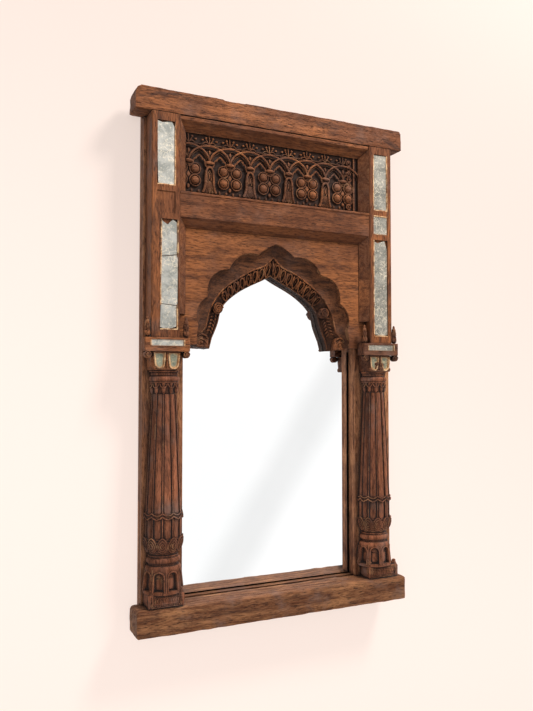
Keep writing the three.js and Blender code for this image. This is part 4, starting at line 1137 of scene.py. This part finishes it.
def band_place(rim, inner, share):
    """Where the band lies at a share of its length: the turn of its surface and its breadth."""
    spot = share * (len(rim) - 1)
    k = min(int(spot), len(rim) - 2)
    outer = rim[k].lerp(rim[k + 1], spot - k)
    near = inner[k].lerp(inner[k + 1], spot - k)
    outer = Vector((outer.x, -RIM_DEPTH, outer.y))
    near = Vector((near.x, -LINE_DEPTH, near.y))
    ahead = rim[k + 1] + inner[k + 1] - rim[k] - inner[k]
    upward = (outer - near).normalized()
    facing = upward.cross(Vector((ahead.x, 0, ahead.y))).normalized()
    if facing.y > 0:
        facing.negate()
    along = upward.cross(facing)
    turn = Matrix((along, -facing, upward)).transposed().to_4x4()
    return Matrix.Translation((outer + near) / 2 * MM) @ turn, (outer - near).length


def laid(model, place, tall=1.0, wide=1.0):
    """A copy with its own mesh, sized and then put in its place."""
    piece = copied(model)
    piece.data.transform(place @ Matrix.Diagonal((wide, 1, tall, 1)))
    return piece


def carve_band_leaf():
    """One lobe of the band: a raised loop, pointed at its foot, round a bud."""
    loop = []
    for step in range(16):
        turn = 2 * math.pi * step / 16
        loop.append((4.3 * math.sin(turn) * (1 - 0.22 * math.cos(turn)), 0.9, -10.4 * math.cos(turn)))
    return carved("band_leaf", [(loop, 1.5, True)], [((0, -0.4, 2.2), (1.5, 1.7, 4.6), 8, 7)])


def carve_band_blade():
    """The plain blade between two loops, bent like a comma."""
    blade = pebble("band_blade", (0, -0.2, 0), (2.7, 2.5, 10.6), 10, 9)
    pick(blade, lambda spot, number: spot.z > 1, "VERT")
    bpy.ops.transform.translate(value=(1.6 * MM, 0, 0))
    done()
    return blade


def carve_volute():
    """A disc with a coil on it, wound inwards to its eye."""
    disc = slab("volute_disc", [(10 * math.cos(math.radians(turn)), 10 * math.sin(math.radians(turn)))
                                for turn in range(0, 360, 15)], -12, 0.6)
    ease_edges(disc, 1.4, 2)
    coil = []
    for step in range(34):
        turn = math.radians(24 * step)
        reach = 9.2 - 7.4 * (step / 33) ** 0.8
        coil.append((-reach * math.cos(turn), 2.2 + 1.2 * step / 33, reach * math.sin(turn)))
    return carved("arch_volute", [(coil, 1.5)], [((0, 3, 0), (2, 2, 2), 8, 6)], disc)


def carve_arch_foot():
    """The curled leaf that each end of the band stands on."""
    block = slab("arch_foot", [(-12.6, -4.6), (12, -3.4), (13.4, 6), (11.4, 14), (5.6, 19.6), (-2.6, 20.6),
                               (-8.6, 16.4), (-11.6, 8)], -9, 1.4)
    ease_edges(block, 2.2, 2)
    folds = [([(-10.4, 1.6, 11), (-6, 2.6, 16.4), (1, 3, 19), (8, 2.4, 16.6), (11.4, 1.4, 11)], 1.5),
             ([(-8.4, 1.4, 3), (-3, 2.2, 9.4), (3.6, 2.2, 11), (9.4, 1.4, 7)], 1.1),
             ([(-11.8, 0.8, -2.4), (0, 2, -1.6), (11.4, 1, -1.4)], 1.5)]
    return carved("arch_foot", folds, [((1, 1.6, 4.6), (2.8, 1.8, 2.2), 8, 6)], block)


def carve_cove(cusped, rim, inner):
    """The cove between the cusped edge and the band, and the sunk face that the band's leaves lie on."""
    rows = [row_at(blended(cusped, rim, across), BOARD_FRONT - (BOARD_FRONT - RIM_DEPTH) * deep)
            for across, deep in COVE]
    rows += [row_at(blended(rim, inner, share), RIM_DEPTH + (LINE_DEPTH - RIM_DEPTH) * share - sunk)
             for share, sunk in BAND_HOLLOW]
    rows += [row_at(inner, BOARD_BACK), row_at(cusped, BOARD_BACK)]
    return smooth(skinned("arch_ring", rows), 38)


def carve_board(cusped, half, top):
    """The flat board round the cusped opening."""
    edge = [(spot.x, spot.y) for spot in reversed(cusped[1:-1])]
    foot = CUSPED_FOOT[0]
    outline = [(half, 0), (half, top), (-half, top), (-half, 0), (-foot, 0)] + edge + [(foot, 0)]
    return ease_edges(slab("arch_board", outline, BOARD_SEAT, BOARD_FRONT), 0.7, 2)


def carve_band(rim, inner):
    """The carving on the band: lips along its edges, leaves, volutes, scales and the feet."""
    parts = [rib("band_lip", row_at(rim, RIM_DEPTH - 0.4), 1.5),
             rib("band_edge", row_at(blended(rim, inner, 0.97), LINE_DEPTH + 0.5), 1.3)]
    motifs = [carve_band_leaf(), carve_band_blade()]
    for k in range(BAND_LEAVES):
        share = FIRST_LEAF + LEAF_REACH * k / (BAND_LEAVES - 1)
        for end, wide in ((share, 1), (1 - share, -1)):
            place, breadth = band_place(rim, inner, end)
            parts.append(laid(motifs[k % 2], place, breadth / BAND_BREADTH, wide))
    volute, base = carve_volute(), carve_arch_foot()
    grain = pebble("scale", (0, 0.4, 0), (3.9, 1.7, 1.5), 10, 6)
    for side in (1, -1):
        for model, (across, depth, up) in ((volute, VOLUTE_PLACE), (base, ARCH_FOOT_PLACE)):
            parts.append(laid(model, Matrix.Translation(Vector((side * across, depth, up)) * MM), 1, side))
        for k in range(BAND_SCALES):
            place, _ = band_place(rim, inner, 0.5 - side * (0.5 - FIRST_SCALE - SCALE_PITCH * k))
            for column in (-1, 1):
                lean = Matrix.Rotation(math.radians(-58 * column * side), 4, "Y")
                parts.append(laid(grain, place @ Matrix.Translation((0, 0, column * 4.2 * MM)) @ lean))
    for model in (*motifs, volute, base, grain):
        cleared(model)
    crown = [(-7, 30, 136), (-4.6, 32, 146), (0, 34, 158), (4.6, 32, 146), (7, 30, 136)]
    parts += [pebble("crown_bud", (0, 34, 146), (2.6, 3, 9), 10, 8), rib("crown_leaf", crown, 1.2)]
    return smooth(face_out(joined("band_carving", parts)), 45)


def carve_arch():
    low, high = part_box("arch_panel")
    foot = low.z / MM + 6
    cusped = cusped_line()
    rim = whole_arch(RIM_FOOT, through(RIM, ARCH_STEPS))
    inner = whole_arch(INNER_FOOT, through(INNER_LINE, ARCH_STEPS))
    parts = [dressed(carve_board(cusped, high.x / MM, high.z / MM - foot), panel_wood),
             dressed(carve_cove(cusped, rim, inner), cove_wood),
             dressed(carve_band(rim, inner), band_wood)]
    arch = moved(joined("carved_arch", parts), up=foot)
    fitted(arch, None, "carved_wood", "arch_panel")


# Capitals, finials, inlay rims, worn beams and the painted shadow line round the mirror.
def putty(name):
    """Old lime putty and bare ground left along the edges of the inlays."""
    finish = Finish(name)
    plain = finish.stretched()
    lumps = finish.noise(plain, 170, 4, 0.7)
    patches = finish.noise(plain, 55, 3, 0.6)
    shade = finish.mix(lumps.between(0.35, 0.62), colour(176, 116, 70), colour(238, 200, 152))
    shade = finish.mix(patches.between(0.5, 0.6) * 0.85, shade, colour(92, 54, 34))
    return finish.surface({"Base Color": shade, "Roughness": 0.7 + lumps * 0.2,
                           "Normal": finish.bump(lumps, 0.5, 0.0006)})


def shadow_paint(name):
    """The painted shadow at the mirror's edge, where the silver ends against the frame."""
    finish = Finish(name)
    shadow_mottle = finish.noise(finish.stretched(), 90, 3, 0.6)
    shade = finish.mix(shadow_mottle, colour(8, 6, 5), colour(20, 16, 13))
    return finish.surface({"Base Color": shade, "Roughness": 0.9 + shadow_mottle * 0.1, "Specular IOR Level": 0})


def extent(node):
    """A part's sides in millimetres: left, right, back, front, foot and head."""
    low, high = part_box(node)
    return Sides(low.x / MM, high.x / MM, -high.y / MM, -low.y / MM, low.z / MM, high.z / MM)


# Carving stops here, just short of the CAD model's front, in millimetres from the wall.
FRONT_LIMIT = -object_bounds()[0][1] / MM - 0.15


def rim_capital(side):
    """Putty round the petal and strip inlays, broken at the right capital's inner corner."""
    rims = []
    for k in (1, 2):
        petal = extent(f"{side}_petal_inlay_{k}")
        middle, half = (petal.left + petal.right) / 2, (petal.right - petal.left) / 2 + 1.1
        face = petal.front + 1.3
        loop = [(middle - half, face, petal.head + 0.4)]
        for step in range(9):
            turn = math.pi * (1 + step / 8)
            broken = side == "right" and (step > 5 if k == 1 else step < 3)
            ragged = 3.4 * (step % 2) + 2.2 if broken else 0
            up = petal.foot + 0.8 * half * (1 + math.sin(turn)) - 0.4 + ragged
            loop.append((middle + 0.8 * half * math.cos(turn), face, up))
        loop.append((middle + half, face, petal.head + 0.4))
        rims.append(rib("petal_rim", loop, 1.35))
    strip = extent(f"{side}_strip_inlay")
    for x in (strip.left - 0.4, strip.right + 0.4):
        line = [(x, FRONT_LIMIT - 0.9, strip.foot), (x, FRONT_LIMIT - 0.9, strip.head)]
        rims.append(rib("strip_rim", line, 0.9))
    fitted(smooth(joined(f"{side}_capital_rims", rims), 60), rim_putty, "petal_mirror")


def carve_bell(side):
    """Leaves on the bell of the capital: a rib, a hem, and a leaf with a bud at each corner."""
    bell = extent(f"{side}_capital_bell")
    middle, front, foot = (bell.left + bell.right) / 2, bell.front, bell.foot
    upright = [(middle, front - 1.4, foot + 2), (middle, front - 0.4, foot + 14),
               (middle, front, bell.head - 1)]
    hem = [(bell.left + 6, front - 2, foot + 1.2), (middle, front - 1.2, foot + 1.2),
           (bell.right - 6, front - 2, foot + 1.2)]
    ribs = [(upright, 1.5), (hem, 1.3)]
    buds = []
    for end in (-1, 1):
        x = middle + end * (bell.right - bell.left) / 2
        ribs.append(([(x - end * 4.6, front - 1.6, bell.head - 1), (x - end * 6, front - 2.2, foot + 16),
                      (x - end * 8.6, front - 2.4, foot + 3)], 1.6))
        buds.append(((x - end * 6, front - 3, foot + 4), (3.2, 2.8, 4.2), 10, 7))
    return carved("bell_leaves", ribs, buds)


def carve_coils(side):
    """A flat coil at each end of the capital's block."""
    block = extent(f"{side}_capital_block")
    coils = []
    for end, x in ((-1, block.left + 6), (1, block.right - 6)):
        coil = []
        for step in range(22):
            turn = math.radians(28 * step)
            reach = 5.6 - 4.4 * step / 21
            coil.append((x + end * reach * math.cos(turn), FRONT_LIMIT - 2.2 + 0.03 * step,
                         block.foot + 6 + reach * math.sin(turn)))
        coils.append((coil, 0.95))
    return carved("capital_coils", coils, [])


def carve_chips():
    """Bare lumps of wood where the right capital's inlay has broken away."""
    petal = extent("right_petal_inlay_1")
    chips = []
    for reach, across, rise in ((5.2, -5, -2), (4.6, 5, -4), (4.2, -1, 7), (3.6, 6, 4), (3.4, -7, 5)):
        place = (petal.right + 3.5 + across, petal.front + 0.4, petal.foot + 7 + rise)
        chips.append(rough_up(pebble("chip", place, (reach, 1.9, reach * 0.8), 16, 10), 5, 2.2))
    return chips


def dress_capital(side):
    rim_capital(side)
    parts = [carve_bell(side), carve_coils(side)] + (carve_chips() if side == "right" else [])
    fitted(smooth(joined(f"{side}_capital_carving", parts), 50), capital_wood, "carved_wood")


def carve_finial():
    """A short leafy knop: swelling leaves with folds, and a pointed bud above them."""
    parts = [pebble("knop", (0, 0, up), radii, *sides) for up, radii, sides in (
        (6.5, (5.8, 4.6, 7.2), (12, 9)), (17, (5.2, 4.2, 6.6), (12, 8)), (25, (4.2, 3.4, 5.2), (10, 7)),
        (30, (2.6, 2.2, 4.4), (8, 7)))]
    for turn in range(0, 360, 60):
        fold = rib("knop_fold", [(0, 4.1, 2), (0, 4.6, 8), (0, 3.7, 14), (0, 4, 19), (0, 2.6, 27)], 0.8)
        fold.data.transform(Matrix.Rotation(math.radians(turn), 4, "Z"))
        parts.append(fold)
    return joined("finial", parts)


def place_finials():
    model = carve_finial()
    for side in ("left", "right"):
        for place in ("inner", "outer"):
            spot = extent(f"{side}_{place}_finial")
            piece = copied(model, (spot.left + spot.right) / 2, (spot.back + spot.front) / 2, spot.foot,
                           name=f"{side}_{place}_knop")
            fitted(smooth(piece, 50), capital_wood, "carved_wood", f"{side}_{place}_finial")
    cleared(model)


# The sides of each inlay along which old putty shows.
INLAY_RIMS = [("left_top_inlay", "right", "foot"), ("left_long_inlay_1", "left", "right"),
              ("left_long_inlay_2", "left"), ("left_long_inlay_3", "right", "foot"),
              ("right_top_inlay", "left", "foot", "right"), ("right_square_inlay", "head", "foot"),
              ("right_long_inlay", "left", "foot")]


def rim_inlays():
    rims = []
    for node, *sides in INLAY_RIMS:
        left, right, _, front, foot, head = extent(node)
        lines = {"left": [(left, foot), (left - 0.3, (foot + head) / 2), (left + 0.2, head)],
                 "right": [(right, foot), (right + 0.2, (foot + head) / 2), (right - 0.2, head)],
                 "foot": [(left, foot), (right, foot + 0.3)], "head": [(left, head), (right, head - 0.3)]}
        for name in sides:
            rims.append(rib("inlay_rim", [(x, front + 0.6, up) for x, up in lines[name]], 1.2))
    fitted(smooth(joined("inlay_rims", rims), 60), rim_putty, "aged_mirror")


def wear_beam(node, dents):
    """The beam with its edges and faces worn by age."""
    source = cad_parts[node]
    piece = source.copy()
    piece.data = source.data.copy()
    bpy.context.scene.collection.objects.link(piece)
    piece.parent = None
    piece.matrix_world = source.matrix_world
    settle(piece, f"worn_{node}")
    face_out(piece)
    finish_with(piece, "REMESH", mode="VOXEL", voxel_size=3.2 * MM)
    rough_up(piece, 24, 2.2, middle=0.95)
    top = extent(node).head - 4
    for left, right, depth in dents:
        pick(piece, lambda spot, number: spot.z > top and left < spot.x < right, "VERT")
        bpy.ops.transform.translate(value=(0, 0, -depth * MM))
        done()
    smooth(piece, 40)
    fitted(piece, sill_wood if node == "bottom_beam" else beam_wood, "carved_wood", node)


def line_mirror():
    """The painted shadow line along the mirror's foot and right edge."""
    right = extent("right_stile").left
    left = extent("left_stile").right
    face = extent("mirror_glass").front + 0.05
    foot = extent("bottom_beam").head
    top = extent("arch_panel").foot

    def strip(near, far, low, high, thick):
        return slab("edge", [(near, low), (far, low), (far, high), (near, high)], face, face + thick)

    upright = strip(right - 3, right - 0.1, foot + 0.1, top, 1.35)
    flat = strip(left + 0.2, right - 3.1, foot + 0.1, foot + 2, 1.15)
    fitted(joined("mirror_edge_line", [upright, flat]), shadow_paint("edge_shadow"), "mirror_glass")


def add_camera():
    data = bpy.data.cameras.new("photo_camera")
    data.sensor_fit = "HORIZONTAL"
    data.sensor_width = 36
    data.lens = CAMERA_LENS
    camera = bpy.data.objects.new("photo_camera", data)
    camera.location = CAMERA_PLACE
    camera.rotation_euler = (math.radians(90 + CAMERA_PITCH), 0, -math.radians(CAMERA_TURN))
    bpy.context.scene.collection.objects.link(camera)
    bpy.context.scene.camera = camera


def add_lamp(name, place, aim, width, power, tint):
    data = bpy.data.lights.new(name, "AREA")
    data.shape = "SQUARE"
    data.size = width
    data.energy = power
    data.color = tint
    lamp = bpy.data.objects.new(name, data)
    lamp.location = place
    lamp.rotation_euler = (Vector(aim) - Vector(place)).to_track_quat("-Z", "Y").to_euler()
    bpy.context.scene.collection.objects.link(lamp)


# What the mirror shows: white, with one soft grey band, and the direction across that band.
MIRRORED_WHITE = (1.08, 1.08, 1.08, 1)
MIRRORED_GREY = (0.915, 0.915, 0.915, 1)
MIRRORED_BAND = (0.755, 0.447, -0.480)
BAND_SHIFT = 0.006
BAND_HALVES = (0.006, 0.046)


def light_room():
    world = bpy.data.worlds.new("studio")
    world.use_nodes = True
    room = Finish("studio", world.node_tree)
    camera, glossy, clear = [room.add("ShaderNodeLightPath", output=f"Is {kind} Ray")
                             for kind in ("Camera", "Glossy", "Transmission")]
    soft = room.add("ShaderNodeBackground", {}, {"Color": (*ROOM_LIGHT, 1), "Strength": ROOM_STRENGTH})
    pale = room.add("ShaderNodeBackground", {}, {"Color": (*WALL_CREAM, 1), "Strength": 1.0})
    slant = room.along(room.add("ShaderNodeTexCoord", output="Generated"), MIRRORED_BAND)
    band = abs(slant + BAND_SHIFT).between(*BAND_HALVES, 1, 0)
    whiteness = room.mix(band, MIRRORED_WHITE, MIRRORED_GREY)
    mirrored_room = room.add("ShaderNodeBackground", {}, {"Color": whiteness, "Strength": 1.0})
    shown = room.shown(glossy, room.shown(camera.most(clear), soft, pale), mirrored_room)
    room.add("ShaderNodeOutputWorld", {}, {"Surface": shown})
    bpy.context.scene.world = world
    add_lamp("window_light", place=(1.0, -1.35, 1.95), aim=(0, 0, 0.02), width=0.6, power=67,
             tint=(1.0, 0.965, 0.92))
    add_lamp("fill_light", place=(-0.9, -1.9, 0.1), aim=(0, 0, 0), width=1.4, power=10,
             tint=(0.96, 0.98, 1.0))


def stage_finish(name, tint, plain_share):
    """A pale stage, evened out against the lamp's fall-off, that lets the room's light through."""
    finish = Finish(name)
    slope = finish.along(finish.place(), (0.35, 1, 0))
    near, far = [tuple(value * share for value in tint) + (1,) for share in (1.03, 0.8)]
    even = finish.mix(slope.between(-0.55, 0.9), near, far)
    lit = finish.add("ShaderNodeBsdfDiffuse", {}, {"Color": even})
    glow = finish.add("ShaderNodeEmission", {}, {"Color": even, "Strength": 1.0})
    clear = finish.add("ShaderNodeBsdfTransparent", {}, {"Color": (1, 1, 1, 1)})
    seen = finish.add("ShaderNodeLightPath", output="Is Camera Ray")
    behind = finish.add("ShaderNodeNewGeometry", output="Backfacing")
    surface = finish.shown(seen * (1 - behind), clear, finish.shown(plain_share, lit, glow))
    finish.add("ShaderNodeOutputMaterial", {}, {"Surface": surface})
    return finish.material


def add_stage():
    bpy.ops.object.select_all(action="DESELECT")
    bpy.ops.mesh.primitive_plane_add(size=WALL_SIZE, location=(0, WALL_GAP, 0),
                                     rotation=(math.radians(90), 0, 0))
    wall = bpy.context.active_object
    wall.name = "backdrop_wall"
    wall.data.materials.append(stage_finish("wall_paint", WALL_CREAM, 0.68))
    bpy.ops.mesh.primitive_plane_add(size=WALL_SIZE, location=(0, 0, -FLOOR_DROP))
    floor = bpy.context.active_object
    floor.name = "studio_floor"
    floor.data.materials.append(stage_finish("floor_paint", FLOOR_CREAM, 0.4))


def give(finish, *names):
    """The CAD parts that show their own faces get their finish."""
    for name in names:
        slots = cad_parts[name].data.materials
        slots.clear()
        slots.append(finish)


# Each wood below with a hollow share carries painted shade in its hollows.
beam_wood = old_wood("beam_wood", "across", stains=0.75, greying=0.45, seed=1.3)
sill_wood = old_wood("sill_wood", "across", brown=colour(146, 98, 66), warm=colour(178, 124, 82), greying=0.7,
                     stains=0.5, seed=2.2)
rail_wood = old_wood("rail_wood", "across", seed=4.1)
panel_wood = old_wood("panel_wood", "across", brown=colour(130, 78, 46), warm=colour(160, 97, 54), seed=7.7)
# The cove's darker browns are partly its own darker soiling and partly painted shade of its depth; its sunk
# setting adds painted shade deeper in.
cove_wood = old_wood("cove_wood", "across", dark=colour(50, 27, 16), brown=colour(96, 58, 36),
                     warm=colour(126, 76, 46), sunk=(28, 14), seed=7.7)
# The band: painted shade in its hollows, deepening towards its sunk face.
band_wood = old_wood("band_wood", "upright", dark=colour(60, 33, 19), hollow_share=1.5, hollow_reach=0.007,
                     sunk=(29, 12), seed=1.7)
# How far the frieze's carved ground lies from the wall, in millimetres.
ground = -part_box("frieze_panel")[1].y / MM + FRIEZE_GROUND
# The frieze: painted shade on its carved ground behind the raised work, and in its hollows.
carved_wood = old_wood("carved_wood", "across", brown=colour(126, 80, 54), greying=0.5, hollow_share=1.6,
                       hollow_reach=0.007, sunk=(ground + 4.2, ground + 0.3), depth_shade_share=0.92, seed=2.9)
# The stiles' browns are their own reddish wood raised lighter: painted light standing in for the side light
# on the posts' faces.
stile_wood = old_wood("stile_wood", "upright", brown=colour(172, 114, 80), warm=colour(200, 140, 98),
                      greying=0.5, stains=0.6, seed=5.2)
pilaster_wood = old_wood("pilaster_wood", "upright", greying=0.5, stains=0.7, seed=8.8)
column_wood = old_wood("column_wood", "upright", brown=colour(140, 86, 62), warm=colour(170, 104, 72),
                       greying=1.0, hollow_share=1.7, hollow_reach=0.008, stains=0.6, seed=3.3)
capital_wood = old_wood("capital_wood", "across", dark=colour(66, 37, 24), brown=colour(118, 72, 48),
                        greying=0.5, hollow_share=1.4, hollow_reach=0.009, seed=6.4)
back_wood = old_wood("back_wood", "across", dark=colour(140, 108, 78), brown=colour(176, 140, 102),
                     warm=colour(190, 150, 108), worn=colour(205, 176, 140), greying=0.2, hollow_share=0,
                     seed=9.1)
batten_wood = old_wood("batten_wood", "upright", dark=colour(150, 118, 84), brown=colour(184, 150, 110),
                       warm=colour(196, 160, 116), worn=colour(210, 184, 148), greying=0.15,
                       hollow_share=0, seed=9.9)

give(beam_wood, "top_beam")
give(sill_wood, "bottom_beam")
give(rail_wood, "middle_rail", "frieze_top_moulding")
give(panel_wood, "arch_panel")
give(carved_wood, "frieze_panel", "left_frieze_reveal", "right_frieze_reveal", "left_arch_reveal",
     "right_arch_reveal")
give(stile_wood, "left_stile", "right_stile")
give(pilaster_wood, "left_pilaster", "right_pilaster")
give(sill_wood, "bottom_back_rail")
give(back_wood, "top_back_rail", "middle_back_rail", "top_mirror_batten", "bottom_mirror_batten")
give(batten_wood, "left_mirror_batten", "right_mirror_batten")
for side in ("left", "right"):
    give(column_wood, f"{side}_column_base", f"{side}_column_drum", f"{side}_column_shaft",
         f"{side}_capital_collar")
    give(capital_wood, f"{side}_capital_bell", f"{side}_capital_block", f"{side}_inner_finial",
         f"{side}_outer_finial")
    give(worn_steel(f"{side}_hanger_steel"), f"{side}_hanger_plate", f"{side}_hanger_ring")
silver = aged_mirror("old_silver")
# A darker copy of the old silver for the right-hand inlays: painted shade.
painted_shade_silver = aged_mirror("painted_shade_silver", silver=colour(146, 142, 132), veil=colour(108, 106, 98), seed=5.0)
petal_silver = aged_mirror("petal_silver", silver=colour(136, 138, 118), veil=colour(96, 100, 84),
                           worn=colour(206, 184, 140), rust_share=0.8, seed=3.0)
for node in [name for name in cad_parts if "inlay" in name and "petal" not in name]:
    give(painted_shade_silver if node.startswith("right") else silver, node)
give(petal_silver, *[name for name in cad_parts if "petal_inlay" in name])
give(silvered_glass("mirror_silver"), "mirror_glass")
give(hardboard("backing_board"), "backing_board")

rim_putty = putty("rim_putty")
dress_columns()
carve_frieze()
carve_arch()
dress_capital("left")
dress_capital("right")
place_finials()
rim_inlays()
wear_beam("top_beam", [(-110, -84, 1.4), (-84, -66, 0.8)])
wear_beam("bottom_beam", [])
line_mirror()

add_camera()
light_room()
add_stage()
bpy.context.scene.view_settings.view_transform = "Standard"
